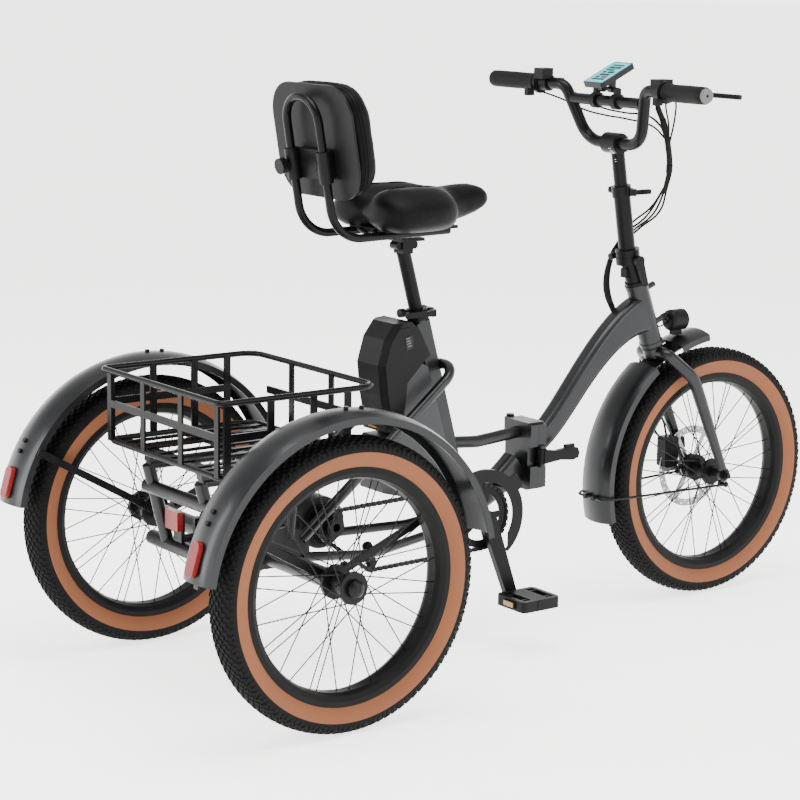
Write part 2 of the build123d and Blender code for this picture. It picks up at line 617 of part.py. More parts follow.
HEAD_LENGTH = (HEAD_TOP - HEAD_LOW).length
BOSS_HIGH = on_head(HEAD_LENGTH - 22)
BOSS_LOW = on_head(42)
BOSS_REACH = 44.0
with BuildPart() as front_frame:
    # one deep beam, bowed upward, growing taller towards the head tube
    beam = (((128, 0, 371), 40, 40, 46), ((204, 0, 438), 46, 41, 48), ((256, 0, 500), 49, 42, 50),
            ((306, 0, 553), 44, 43, 56), ((358, 0, 594), 34, 44, 67), ((424, 0, 619), 20, 44, 86))
    for origin, lean, wide, deep in beam:
        way = Vector(cos(radians(lean)), 0, sin(radians(lean)))
        with BuildSketch(Plane(origin=origin, x_dir=Y_AXIS, z_dir=way)):
            RectangleRounded(wide, deep, 15)
    loft()
    rod(HEAD_LOW, HEAD_TOP, HEAD_R)
    for place in (1, HEAD_LENGTH - 9):
        rod(on_head(place), on_head(place + 8), HEAD_R + 1.5)
    # hinge plate and its knuckle
    block((HINGE_X + 0.2, -36, HINGE_LOW), (HINGE_X + 20, 36, HINGE_TOP))
    rod((HINGE_X, HINGE_Y, 322.4), (HINGE_X, HINGE_Y, 397.6), 9)
    block((HINGE_X + 0.2, 30, 322.4), (HINGE_X + 15, HINGE_Y, 397.6))
    # clamp ears on the right and the lugs that carry the lever
    block((HINGE_X + 0.2, -46, 296), (HINGE_X + 20, -35, 340))
    block((HINGE_X + 0.2, -46, 380), (HINGE_X + 20, -35, 424))
    for z in (338, 376):
        rod((LEVER_PIVOT.X, LEVER_PIVOT.Y, z), (LEVER_PIVOT.X, LEVER_PIVOT.Y, z + 6), 7)
        block((LEVER_PIVOT.X - 7, LEVER_PIVOT.Y, z), (LEVER_PIVOT.X + 7, -35, z + 6))
    rod((LEVER_PIVOT.X, LEVER_PIVOT.Y, 339), (LEVER_PIVOT.X, LEVER_PIVOT.Y, 381), 3.5)
    # bosses for a front rack and for the lamp
    for boss in (BOSS_HIGH, BOSS_LOW):
        rod(boss, boss + head_front * BOSS_REACH, 6)
    # bores: steerer, rack thread, hinge pin
    rod(on_head(-4), on_head(HEAD_LENGTH + 4), 17, mode=Mode.SUBTRACT)
    for boss in (BOSS_HIGH, BOSS_LOW):
        thread_end = boss + head_front * (BOSS_REACH - 14)
        rod(thread_end, boss + head_front * (BOSS_REACH + 2), 2.5, mode=Mode.SUBTRACT)
    rod((HINGE_X, HINGE_Y, 320), (HINGE_X, HINGE_Y, 400), PIN_R + RUN_GAP, mode=Mode.SUBTRACT)
save(front_frame, "front_frame")

with BuildPart() as headset:
    for base, inner_end, collar in ((0, 9, -4), (HEAD_LENGTH, HEAD_LENGTH - 9, HEAD_LENGTH + 6)):
        rod(on_head(base), on_head(collar if collar > 0 else base + collar), HEAD_R)
        rod(on_head(inner_end), on_head(base), 17)
    rod(on_head(-12), on_head(HEAD_LENGTH + 12), STEERER_R + RUN_GAP, mode=Mode.SUBTRACT)
save(headset, "headset")

LAMP = Vector(511, 0, 597)
LAMP_R = 22.0
with BuildPart() as headlight:
    rod(LAMP - Vector(22, 0, 0), LAMP + Vector(20, 0, 0), LAMP_R)
    fillet(headlight.edges().filter_by(GeomType.CIRCLE).sort_by(Axis.X)[0], radius=9)
    with BuildSketch(Plane(origin=LAMP + Vector(20, 0, 0), z_dir=(1, 0, 0))):
        Circle(LAMP_R - 3)
    extrude(amount=-6, mode=Mode.SUBTRACT)
    # lens and its rim
    with BuildSketch(Plane(origin=LAMP + Vector(13.5, 0, 0), z_dir=(1, 0, 0))):
        Circle(LAMP_R - 3)
    extrude(amount=4)
    # foot that bolts to the lower boss
    foot = BOSS_LOW + head_front * BOSS_REACH
    rod(foot + head_front * 0.1, foot + head_front * 8, 7)
    rod(foot + head_front * 7, LAMP - Vector(10, 0, 4), 7)
    block(LAMP + Vector(-8, -8, -31), LAMP + Vector(12, 8, -16))
save(headlight, "headlight")

with BuildPart() as hinge_lever:
    pivot = LEVER_PIVOT
    rod((pivot.X, pivot.Y, 345.2), (pivot.X, pivot.Y, 374.8), 10)
    blade = [(118, 346), (160, 350), (192, 346), (206, 350), (209, 360), (204, 370), (192, 374),
             (150, 370), (118, 374)]
    side_plate(blade, -59, -50)
    # safety catch on top of the blade
    block((172, -58, 373), (196, -51, 379))
    rod((pivot.X, pivot.Y, 340), (pivot.X, pivot.Y, 380), 3.5 + RUN_GAP, mode=Mode.SUBTRACT)
save(hinge_lever, "hinge_lever")

# ---------------------------------------------------------------- steering
CROWN = on_head(-17.4)
LEG_Y = 61.0
LEG_BEND = Vector(512, LEG_Y, 482)
DROPOUT = Vector(FRONT_X, LEG_Y, AXLE_Z + 4)
STAY_EYE = Vector(FRONT_X - 6, 0, AXLE_Z - 18)
with BuildPart() as fork:
    rod(on_head(-20), on_head(HEAD_LENGTH + 46), STEERER_R)
    rod(on_head(-24), on_head(-4.2), 21)
    for side in SIDES.values():
        top = CROWN + Vector(2, side * 40, 0)
        bend = Vector(LEG_BEND.X, side * LEG_Y, LEG_BEND.Z)
        foot = Vector(DROPOUT.X, side * LEG_Y, DROPOUT.Z)
        knee = along(bend, foot, 58)
        pipe([CROWN, top, bend, knee], [16, 60], 13)
        with BuildSketch(Plane(origin=knee, z_dir=foot - knee)):
            Circle(13)
        with BuildSketch(Plane(origin=foot, z_dir=foot - knee)):
            Circle(9)
        loft()
        # dropout plate
        rod((FRONT_X, side * (LEG_Y - 3), AXLE_Z), (FRONT_X, side * (LEG_Y + 3), AXLE_Z), 15)
        rod(STAY_EYE + Vector(0, side * (LEG_Y - 3), 0), STAY_EYE + Vector(0, side * (LEG_Y + 3), 0), 7)
        inside = side * (LEG_Y - 14)
        outside = side * (LEG_Y + 14)
        rod((FRONT_X, inside, AXLE_Z), (FRONT_X, outside, AXLE_Z), 5, mode=Mode.SUBTRACT)
        # the leg is thinned on both faces of the plate
        for face, reach in ((side * (LEG_Y + 3), outside), (side * (LEG_Y - 3), inside)):
            near = (FRONT_X - 15, face, AXLE_Z - 15)
            block(near, (FRONT_X + 15, reach, AXLE_Z + 15), mode=Mode.SUBTRACT)
save(fork, "fork")

with BuildPart() as front_axle:
    rod((FRONT_X, -78, AXLE_Z), (FRONT_X, 78, AXLE_Z), 5)
    for side, inner in ((1, 45), (-1, 33)):
        rod((FRONT_X, side * inner, AXLE_Z), (FRONT_X, side * (LEG_Y - 3), AXLE_Z), 8.5)
        rod((FRONT_X, side * (LEG_Y + 3), AXLE_Z), (FRONT_X, side * (LEG_Y + 5), AXLE_Z), 11)
        nut_seat = (FRONT_X, side * (LEG_Y + 5), AXLE_Z)
        with BuildSketch(Plane(origin=nut_seat, x_dir=X_AXIS, z_dir=(0, side, 0))):
            RegularPolygon(radius=8.5, side_count=6)
        extrude(amount=8)
save(front_axle, "front_axle")

STRAP_R = 294.3
with BuildPart() as front_fender:
    spun(front_centre, fender_outline, arc=194 - 127, start=194)
    spun(front_centre, fender_outline, arc=112 - 97, start=112)
    # strap under the fork crown joins the two pieces
    with BuildSketch(Plane(origin=front_centre, x_dir=Y_AXIS,
                           z_dir=(sin(radians(134)), 0, -cos(radians(134))))):
        with Locations((0, STRAP_R)):
            Rectangle(54, 3)
    revolve(axis=Axis(front_centre, Y_AXIS), revolution_arc=28)
    for side in SIDES.values():
        for angle in (131, 109):
            foot = wheel_point(STRAP_R, angle, side * 20, FRONT_X)
            rod(foot, wheel_point(FENDER_R - 4, angle, side * 20, FRONT_X), 6)
save(front_fender, "front_fender")

with BuildPart() as front_fender_stay:
    eye = STAY_EYE + Vector(0, 75, 0)
    stay = [(eye.X, -eye.Y, eye.Z), (312, -50, 246), (291, -36, 245), (291, 36, 245), (312, 50, 246), eye]
    pipe(stay, [14, 12, 12, 14], 2.5)
    for y in (-12, 12):
        rod((286, y, 245), (297.4, y, 245), 5)
    for side in SIDES.values():
        rod(STAY_EYE + Vector(0, side * 73, 0), STAY_EYE + Vector(0, side * 77, 0), 6)
        rod(STAY_EYE + Vector(0, side * (LEG_Y + 3), 0), STAY_EYE + Vector(0, side * 79, 0), 3)
save(front_fender_stay, "front_fender_stay")

with BuildPart() as front_caliper:
    block((524, 30, 272), (562, 56, 338))
    fillet(front_caliper.edges().filter_by(Axis.Y), radius=7)
    rod((FRONT_X, ROTOR_Y - 2.2, AXLE_Z), (FRONT_X, ROTOR_Y + 2.2, AXLE_Z), ROTOR_R + 2, mode=Mode.SUBTRACT)
    # bracket to the left leg, outside the rotor
    side_plate([(540, 338), (560, 338), (596, 330), (600, 306), (562, 300), (556, 320)], 49, 53)
    # hose down the leg
    pipe([(470, 52, 556), (500, 82, 500), (526, 80, 430), (548, 62, 360), (548, 54, 336)], [16, 30, 12], 2.4)
save(front_caliper, "front_caliper")

# ---------------------------------------------------------------- stem
stem_dir = (STEM_COLLAR - STEM_BASE).normalized()
stem_back = Vector(-stem_dir.Z, 0, stem_dir.X)       # square to the stem, towards the rider
STEM_R = 17.0
UPPER_R = 13.6
FOLD_Y = 27.0


def on_stem(distance):
    """Point on the stem's axis, measured up from the fold."""
    return STEM_BASE + stem_dir * distance


STEM_LENGTH = (STEM_COLLAR - STEM_BASE).length
fold_middle = STEM_BASE + Vector(0, FOLD_Y, 0)
with BuildPart() as stem_base:
    rod(on_head(HEAD_LENGTH + 6.2), on_head(HEAD_LENGTH + 50), 20)
    rod(on_stem(-16), on_stem(-0.3), 25)
    # pinch bolts at the back
    block(on_head(HEAD_LENGTH + 14) + Vector(-30, -9, 0), on_head(HEAD_LENGTH + 34) + Vector(-8, 9, 0))
    rod(on_stem(-8) + Vector(0, -30, 0), on_stem(-8) + Vector(0, -20, 0), 8)
    for low, high in ((-24, -12), (12, 24)):
        rod(fold_middle - stem_back * low, fold_middle - stem_back * high, 7)
    rod(on_head(HEAD_LENGTH + 2), on_head(HEAD_LENGTH + 46), STEERER_R, mode=Mode.SUBTRACT)
    with BuildSketch(Plane(origin=on_stem(-0.3), x_dir=Y_AXIS, z_dir=stem_dir)):
        with Locations((-3, 0)):
            Rectangle(44, 60)
    extrude(amount=12, mode=Mode.SUBTRACT)
    rod(fold_middle - stem_back * 12, fold_middle + stem_back * 12, 7.6, mode=Mode.SUBTRACT)
    rod(fold_middle - stem_back * 24, fold_middle + stem_back * 24, 2.5)
save(stem_base, "stem_base")

with BuildPart() as stem_tube:
    rod(on_stem(0.3), on_stem(14), 25)
    rod(on_stem(10), on_stem(STEM_LENGTH), STEM_R)
    for low, high in ((-25, -12), (12, 25)):
        rod(fold_middle - stem_back * low, fold_middle - stem_back * high, 7.6, mode=Mode.SUBTRACT)
    rod(fold_middle - stem_back * 11.7, fold_middle + stem_back * 11.7, 7)
    with BuildSketch(Plane(origin=on_stem(0.3), x_dir=Y_AXIS, z_dir=stem_dir)):
        with Locations((22, 0)):
            Rectangle(12, 23)
    extrude(amount=6)
    # collar at the top with its knob boss and clamp ears
    rod(on_stem(STEM_LENGTH - 22), on_stem(STEM_LENGTH), STEM_R + 3)
    rod(on_stem(STEM_LENGTH - 11) + Vector(0, 18, 0), on_stem(STEM_LENGTH - 11) + Vector(0, 27, 0), 4)
    rod(on_stem(STEM_LENGTH - 11) + Vector(0, 26, 0), on_stem(STEM_LENGTH - 11) + Vector(0, 34, 0), 7)
    block(on_stem(STEM_LENGTH - 19) + Vector(-7, -27, 0), on_stem(STEM_LENGTH - 3) + Vector(9, -16, 0))
    rod(on_stem(12), on_stem(STEM_LENGTH + 4), UPPER_R + POST_GAP, mode=Mode.SUBTRACT)
    rod(fold_middle - stem_back * 12, fold_middle + stem_back * 12, 2.5 + RUN_GAP, mode=Mode.SUBTRACT)
    # bolt the fold lever hooks over
    rod(on_stem(8) + Vector(0, -29, 0), on_stem(8) + Vector(0, -22, 0), 4)
save(stem_tube, "stem_tube")

with BuildPart() as stem_latch:
    pivot = on_stem(-8)
    rod(pivot + Vector(0, -30.4, 0), pivot + Vector(0, -39, 0), 11)
    way = head_dir * -1
    with BuildSketch(Plane(origin=pivot + Vector(0, -31.5, 0), x_dir=way, z_dir=(0, -1, 0))):
        with Locations((0, 0)):
            Circle(9)
        with Locations((50, 0)):
            Circle(6)
        make_hull()
    extrude(amount=7)
save(stem_latch, "stem_latch")

with BuildPart() as stem_lever:
    pivot = on_stem(STEM_LENGTH - 11) + Vector(1, -34.2, 0)
    rod(pivot - Vector(0, 0, 7), pivot + Vector(0, 0, 7), 7)
    block(pivot + Vector(0, -6, -5), pivot + Vector(44, 0, 5))
    fillet(stem_lever.edges().filter_by(Axis.Y), radius=3)
save(stem_lever, "stem_lever")

clamp_middle = on_stem((972 - STEM_BASE.Z) / stem_dir.Z)
with BuildPart() as stem_upper_tube:
    rod(on_stem(STEM_LENGTH - 84), clamp_middle, UPPER_R)
    rod(BAR_CLAMP - Vector(0, 21, 0), BAR_CLAMP + Vector(0, 21, 0), 21)
    block(BAR_CLAMP + Vector(2, -20, -17), BAR_CLAMP + Vector(19, 20, 14))
    rod(BAR_CLAMP - Vector(0, 24, 0), BAR_CLAMP + Vector(0, 24, 0), BAR_R, mode=Mode.SUBTRACT)
save(stem_upper_tube, "stem_upper_tube")

# ---------------------------------------------------------------- handlebar and its fittings
GRIP_END = Vector(270, 322, 1086)
BAR_ELBOW = Vector(297, 122, 1084)
BAR_FOOT = Vector(BAR_CLAMP.X, 80, BAR_CLAMP.Z)


def mirrored(point, side):
    return Vector(point.X, point.Y * side, point.Z)


with BuildPart() as handlebar:
    left_side = [BAR_FOOT, BAR_ELBOW, GRIP_END]
    right_side = [mirrored(point, -1) for point in reversed(left_side)]
    pipe(right_side + left_side, [26, 52, 52, 26], BAR_R)
    rod((304, -103, BAR_TOP_Z), (304, 103, BAR_TOP_Z), BAR_R - 1)
save(handlebar, "handlebar")

with BuildPart() as grips:
    for side in SIDES.values():
        inner = along(GRIP_END, BAR_ELBOW, 127)
        outer = along(GRIP_END, BAR_ELBOW, -2)
        rod(mirrored(inner, side), mirrored(outer, side), GRIP_R)
        rod(mirrored(along(GRIP_END, BAR_ELBOW, 140), side), mirrored(GRIP_END, side), BAR_R,
            mode=Mode.SUBTRACT)
save(grips, "grips")

BRACKET = along(GRIP_END, BAR_ELBOW, 150)
LEVER_AXIS = Vector(BRACKET.X + 34, BRACKET.Y, BRACKET.Z - 2)
with BuildPart() as bar_fittings:
    for side in SIDES.values():
        near = mirrored(along(GRIP_END, BAR_ELBOW, 141), side)
        far = mirrored(along(GRIP_END, BAR_ELBOW, 160), side)
        rod(near, far, BAR_R + 5)
        centre = mirrored(LEVER_AXIS, side)
        block(centre - Vector(24, 10, 9), centre + Vector(-8, 10, 9))
        for z in (-11, 7):
            block(centre + Vector(-16, -8, z), centre + Vector(7, 8, z + 4))
        rod(centre - Vector(0, 0, 11), centre + Vector(0, 0, 11), 3)
    # left pod: keypad and throttle housing
    left = along(GRIP_END, BAR_ELBOW, 131)
    rod(along(GRIP_END, BAR_ELBOW, 128), along(GRIP_END, BAR_ELBOW, 139), 20)
    block(left + Vector(-24, -38, 8), left + Vector(4, -10, 30))
    # right pod: gear shifter
    right = mirrored(left, -1)
    rod(mirrored(along(GRIP_END, BAR_ELBOW, 128), -1), mirrored(along(GRIP_END, BAR_ELBOW, 139), -1), 19)
    block(right + Vector(-8, 10, 8), right + Vector(26, 38, 24))
    # display clamps round the cross tube
    for y in (-31, 31):
        rod((304, y - 7, BAR_TOP_Z), (304, y + 7, BAR_TOP_Z), 16)
        block((298, y - 5, BAR_TOP_Z + 12), (310, y + 5, BAR_TOP_Z + 26))
    rod((304, -36, BAR_TOP_Z + 24), (304, 36, BAR_TOP_Z + 24), 4)
    rod(mirrored(GRIP_END, -1), mirrored(BAR_ELBOW, -1), BAR_R, mode=Mode.SUBTRACT)
    rod(GRIP_END, BAR_ELBOW, BAR_R, mode=Mode.SUBTRACT)
    rod((304, -60, BAR_TOP_Z), (304, 60, BAR_TOP_Z), BAR_R - 1, mode=Mode.SUBTRACT)
save(bar_fittings, "bar_fittings")

for name, side in SIDES.items():
    centre = mirrored(LEVER_AXIS, side)
    with BuildPart() as brake_lever:
        rod(centre - Vector(0, 0, 6.5), centre + Vector(0, 0, 6.5), 6.5)
        route = [centre + Vector(2, 0, 0), centre + Vector(34, side * 24, -1),
                 centre + Vector(42, side * 72, -2), centre + Vector(54, side * 130, -3)]
        pipe(route, [20, 60], 5)
        rod(centre - Vector(0, 0, 9), centre + Vector(0, 0, 9), 3 + RUN_GAP, mode=Mode.SUBTRACT)
    save(brake_lever, f"brake_lever_{name}")

with BuildPart() as throttle_lever:
    inner = along(GRIP_END, BAR_ELBOW, 136.5)
    outer = along(GRIP_END, BAR_ELBOW, 130.5)
    rod(outer, inner, 23)
    block(outer + Vector(-34, -4, -27), outer + Vector(-16, 7, -12))
    rod(along(GRIP_END, BAR_ELBOW, 118), along(GRIP_END, BAR_ELBOW, 145), 20 + RUN_GAP, mode=Mode.SUBTRACT)
save(throttle_lever, "throttle_lever")

with BuildPart() as shift_lever:
    inner = mirrored(along(GRIP_END, BAR_ELBOW, 136.5), -1)
    outer = mirrored(along(GRIP_END, BAR_ELBOW, 130.5), -1)
    rod(outer, inner, 22)
    block(outer + Vector(-32, -7, -24), outer + Vector(-15, 4, -11))
    inner = mirrored(along(GRIP_END, BAR_ELBOW, 145), -1)
    outer = mirrored(along(GRIP_END, BAR_ELBOW, 118), -1)
    rod(outer, inner, 19 + RUN_GAP, mode=Mode.SUBTRACT)
save(shift_lever, "shift_lever")

DISPLAY_TILT = radians(25)
with BuildPart() as display:
    hinge = Vector(304, 0, BAR_TOP_Z + 24)
    for y in (-14, 14):
        rod(hinge + Vector(0, y - 6, 0), hinge + Vector(0, y + 6, 0), 7)
        block(hinge + Vector(-4, y - 6, 2), hinge + Vector(6, y + 6, 22))
    slab = Plane(origin=hinge + Vector(6, 0, 22), x_dir=(cos(DISPLAY_TILT), 0, sin(DISPLAY_TILT)),
                 z_dir=(-sin(DISPLAY_TILT), 0, cos(DISPLAY_TILT)))
    with BuildSketch(slab):
        RectangleRounded(92, 60, 6)
    extrude(amount=11)
    rod(hinge + Vector(0, -30, 0), hinge + Vector(0, 30, 0), 4 + RUN_GAP, mode=Mode.SUBTRACT)
save(display, "display")

CABLE = [(334, -118, 1046), (356, -118, 1012), (380, -108, 950), (396, -84, 886), (404, -40, 826),
         (398, 18, 786), (372, 44, 740), (352, 38, 690), (340, 14, 634)]
with BuildPart() as control_cables:
    pipe(CABLE, [20, 60, 70, 60, 60, 40, 40], 4.5)
save(control_cables, "control_cables")

# ---------------------------------------------------------------- seat
with BuildPart() as seat_post:
    rod(SEAT_TOP - seat_dir * 150, POST_HEAD, POST_R)
    head = POST_HEAD + Vector(0, 0, 14)
    block(head + Vector(-12, -15, -16), head + Vector(12, 15, 8))
    for x in (-17, 18):
        rod(head + Vector(x, -11, 0), head + Vector(x, 11, 0), 8)
        rod(head + Vector(x, 0, -10), head + Vector(x, 0, 18), 4)
    # upper and lower cradles that grip the rails
    block(head + Vector(-26, -30, 9), head + Vector(28, 30, 15))
save(seat_post, "seat_post")

SADDLE_LOW = 838.0
with BuildPart() as saddle:
    with BuildSketch(Plane.XY.offset(SADDLE_LOW)):
        with Locations((-28, 0)):
            Circle(34)
        with Locations((-236, 62), (-236, -62)):
            Circle(60)
        make_hull()
    extrude(amount=64)
    fillet(saddle.faces().sort_by(Axis.Z)[-1].edges(), radius=20)
save(saddle, "saddle")

LEG_HALF = 52.0
BACK_FOOT = Vector(-389, LEG_HALF, 824)
BACK_TOP = Vector(-434, LEG_HALF, 1085)
back_dir = (BACK_TOP - BACK_FOOT).normalized()
back_front = Vector(back_dir.Z, 0, -back_dir.X)
with BuildPart() as backrest_frame:
    pipe([(-128, LEG_HALF, 829), BACK_FOOT, BACK_TOP, mirrored(BACK_TOP, -1), mirrored(BACK_FOOT, -1),
          (-128, -LEG_HALF, 829)], [70, 50, 50, 70], 8)
    # saddle rails and the cross plates under the shell
    for y in (-22, 22):
        pipe([(-100, y, 834), (-128, y, 820), (-262, y, 820), (-285, y, 834)], [10, 10], 3.8)
    for x in (-270, -120):
        block((x - 9, -60, 832), (x + 9, 60, SADDLE_LOW - 0.2))
save(backrest_frame, "backrest_frame")

SLEEVE_LOW = 108.0
SLEEVE_HIGH = 166.0
PAD_CENTRE = Vector(-371, 0, 1008)
with BuildPart() as backrest_carrier:
    for side in SIDES.values():
        base = mirrored(BACK_FOOT, side)
        rod(base + back_dir * SLEEVE_LOW, base + back_dir * SLEEVE_HIGH, 13)
    middle = Vector(BACK_FOOT.X, 0, BACK_FOOT.Z) + back_dir * (SLEEVE_LOW + SLEEVE_HIGH) / 2
    with BuildSketch(Plane(origin=middle + back_front * 9, x_dir=Y_AXIS, z_dir=back_front)):
        RectangleRounded(2 * LEG_HALF + 8, 56, 6)
    extrude(amount=6)
    # hard back shell of the pad
    with BuildSketch(Plane(origin=PAD_CENTRE + back_front * -29, x_dir=Y_AXIS, z_dir=back_front)):
        RectangleRounded(258, 212, 64)
    extrude(amount=5)
    rod(middle + back_front * 8, middle + back_front * 22, 14)
    for side in SIDES.values():
        base = mirrored(BACK_FOOT, side)
        rod(base + back_dir * 90, base + back_dir * 190, 8 + RUN_GAP, mode=Mode.SUBTRACT)
    base = Vector(BACK_FOOT.X, LEG_HALF, BACK_FOOT.Z) + back_dir * 137
    rod(base - back_front * 10, base - back_front * 19, 7)
save(backrest_carrier, "backrest_carrier")

with BuildPart() as backrest_pad:
    with BuildSketch(Plane(origin=PAD_CENTRE + back_front * -23.6, x_dir=Y_AXIS, z_dir=back_front)):
        RectangleRounded(262, 216, 66)
    extrude(amount=46)
    fillet(backrest_pad.faces().sort_by(Axis.X)[-1].edges(), radius=18)
save(backrest_pad, "backrest_pad")

with BuildPart() as backrest_knob:
    base = Vector(BACK_FOOT.X, LEG_HALF, BACK_FOOT.Z) + back_dir * 137
    rod(base - back_front * 19.3, base - back_front * 32, 15)
save(backrest_knob, "backrest_knob")

LEVER_BARREL = COLLAR_EAR + Vector(0, -18, 0)
with BuildPart() as seat_lever:
    rod(LEVER_BARREL - Vector(0, 0, 7), LEVER_BARREL + Vector(0, 0, 7), 7)
    block(LEVER_BARREL + Vector(-70, -12, -5), LEVER_BARREL + Vector(0, -6, 6))
    fillet(seat_lever.edges().filter_by(Axis.Y), radius=3)
save(seat_lever, "seat_lever")
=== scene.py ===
import json
import math

import bmesh
import bpy
from mathutils import Matrix, Vector


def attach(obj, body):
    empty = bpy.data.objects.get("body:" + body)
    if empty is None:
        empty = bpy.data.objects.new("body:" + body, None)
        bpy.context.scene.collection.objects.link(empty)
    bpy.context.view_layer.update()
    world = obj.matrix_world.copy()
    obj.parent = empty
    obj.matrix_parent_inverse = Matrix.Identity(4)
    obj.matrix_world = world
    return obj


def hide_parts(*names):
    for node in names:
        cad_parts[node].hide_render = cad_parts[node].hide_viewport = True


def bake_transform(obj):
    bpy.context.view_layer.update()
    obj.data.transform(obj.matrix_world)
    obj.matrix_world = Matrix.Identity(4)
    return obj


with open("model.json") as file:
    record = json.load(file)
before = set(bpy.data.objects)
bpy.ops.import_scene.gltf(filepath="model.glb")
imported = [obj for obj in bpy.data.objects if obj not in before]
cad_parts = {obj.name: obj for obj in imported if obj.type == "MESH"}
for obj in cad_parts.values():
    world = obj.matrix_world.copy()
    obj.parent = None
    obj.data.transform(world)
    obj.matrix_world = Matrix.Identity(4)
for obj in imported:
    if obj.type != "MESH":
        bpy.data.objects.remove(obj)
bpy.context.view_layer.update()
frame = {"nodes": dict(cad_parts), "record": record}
node = frame["nodes"]
scene = bpy.context.scene

# ---------------------------------------------------------------- finishes
# Every finish is a small node tree in object space: a fine grain, a slow variation and a bump.
GLOSS_SWING, COAT_ROUGH, SLOW_SHARE = 0.06, 0.12, 0.45
NOISE_LOW, NOISE_HIGH = 0.3, 0.7
GRAIN_DEPTH, CREASE_DEPTH = 0.0002, 0.0004


def surface(name, dark, light, rough, metal=0.0, grain=900.0, bump=0.08, coat=0.0, spec=0.5,
            stretch=None, patch=14.0):
    """A finish between two tones; grain and patch are the scales of its fine and its slow noise."""
    made = bpy.data.materials.new(name)
    made.use_nodes = True
    tree = made.node_tree
    shader = tree.nodes["Principled BSDF"]
    shader.inputs["Metallic"].default_value = metal
    shader.inputs["Coat Weight"].default_value = coat
    shader.inputs["Coat Roughness"].default_value = COAT_ROUGH
    shader.inputs["Specular IOR Level"].default_value = spec
    where = tree.nodes.new("ShaderNodeTexCoord").outputs["Object"]
    if stretch:
        squeeze = tree.nodes.new("ShaderNodeMapping")
        squeeze.inputs["Scale"].default_value = stretch
        tree.links.new(where, squeeze.inputs["Vector"])
        where = squeeze.outputs["Vector"]
    fine = tree.nodes.new("ShaderNodeTexNoise")
    fine.inputs["Scale"].default_value = grain
    fine.inputs["Detail"].default_value = 3.0
    slow = tree.nodes.new("ShaderNodeTexNoise")
    slow.inputs["Scale"].default_value = patch
    slow.inputs["Detail"].default_value = 2.0
    for noise in (fine, slow):
        tree.links.new(where, noise.inputs["Vector"])
    blend = tree.nodes.new("ShaderNodeMix")
    blend.data_type = "FLOAT"
    blend.inputs["Factor"].default_value = SLOW_SHARE
    tree.links.new(fine.outputs["Fac"], blend.inputs[2])
    tree.links.new(slow.outputs["Fac"], blend.inputs[3])
    tones = tree.nodes.new("ShaderNodeValToRGB")
    tones.color_ramp.elements[0].position = NOISE_LOW
    tones.color_ramp.elements[1].position = NOISE_HIGH
    tones.color_ramp.elements[0].color = (*dark, 1)
    tones.color_ramp.elements[1].color = (*light, 1)
    tree.links.new(blend.outputs[0], tones.inputs["Fac"])
    tree.links.new(tones.outputs["Color"], shader.inputs["Base Color"])
    gloss = tree.nodes.new("ShaderNodeMapRange")
    gloss.inputs["From Min"].default_value = NOISE_LOW
    gloss.inputs["From Max"].default_value = NOISE_HIGH
    gloss.inputs["To Min"].default_value = max(0.02, rough - GLOSS_SWING)
    gloss.inputs["To Max"].default_value = min(1.0, rough + GLOSS_SWING)
    tree.links.new(slow.outputs["Fac"], gloss.inputs["Value"])
    tree.links.new(gloss.outputs["Result"], shader.inputs["Roughness"])
    relief = tree.nodes.new("ShaderNodeBump")
    relief.inputs["Strength"].default_value = bump
    relief.inputs["Distance"].default_value = GRAIN_DEPTH
    tree.links.new(fine.outputs["Fac"], relief.inputs["Height"])
    tree.links.new(relief.outputs["Normal"], shader.inputs["Normal"])
    return made


def pebbled(name, dark, light, rough, scale, bump):
    """A leather-like skin: rounded cells with creases between them."""
    made = surface(name, dark, light, rough, grain=160, bump=0.05, spec=0.055)
    tree = made.node_tree
    cells = tree.nodes.new("ShaderNodeTexVoronoi")
    cells.inputs["Scale"].default_value = scale
    cells.feature = "SMOOTH_F1"
    where = tree.nodes["Texture Coordinate"].outputs["Object"]
    tree.links.new(where, cells.inputs["Vector"])
    crease = tree.nodes.new("ShaderNodeBump")
    crease.inputs["Strength"].default_value = bump
    crease.inputs["Distance"].default_value = CREASE_DEPTH
    crease.invert = True
    tree.links.new(cells.outputs["Distance"], crease.inputs["Height"])
    tree.links.new(tree.nodes["Bump"].outputs["Normal"], crease.inputs["Normal"])
    tree.links.new(crease.outputs["Normal"], tree.nodes["Principled BSDF"].inputs["Normal"])
    return made


graphite = surface("graphite paint", (0.0115, 0.0118, 0.0128), (0.0200, 0.0206, 0.0220), 0.34,
                   metal=0.82, grain=2600, bump=0.05, coat=0.10)
black_paint = surface("black paint", (0.0018, 0.0018, 0.002), (0.0042, 0.0042, 0.0046), 0.25,
                      grain=1400, spec=0.10)
black_alloy = surface("black alloy", (0.003, 0.003, 0.0034), (0.007, 0.007, 0.0076), 0.32,
                      metal=0.25, grain=1800, spec=0.09)
bright_steel = surface("bright steel", (0.17, 0.175, 0.18), (0.28, 0.285, 0.29), 0.30,
                       metal=1.0, grain=700, stretch=(1, 6, 1))
dark_steel = surface("dark steel", (0.005, 0.005, 0.0055), (0.013, 0.013, 0.014), 0.36,
                     metal=0.6, grain=900, spec=0.16)
casting = surface("dark casting", (0.008, 0.008, 0.009), (0.019, 0.019, 0.021), 0.5,
                  metal=0.5, grain=500, bump=0.3, spec=0.16)
tread_rubber = surface("tread rubber", (0.0025, 0.0025, 0.0025), (0.0065, 0.0065, 0.0065), 0.62,
                       grain=500, bump=0.2, spec=0.07)
tan_wall = surface("tan sidewall", (0.135, 0.047, 0.020), (0.175, 0.063, 0.027), 0.62,
                   grain=1200, bump=0.08, spec=0.15, patch=9)
rim_black = surface("rim coat", (0.003, 0.003, 0.003), (0.008, 0.008, 0.008), 0.45,
                    metal=0.2, grain=1500, spec=0.08)
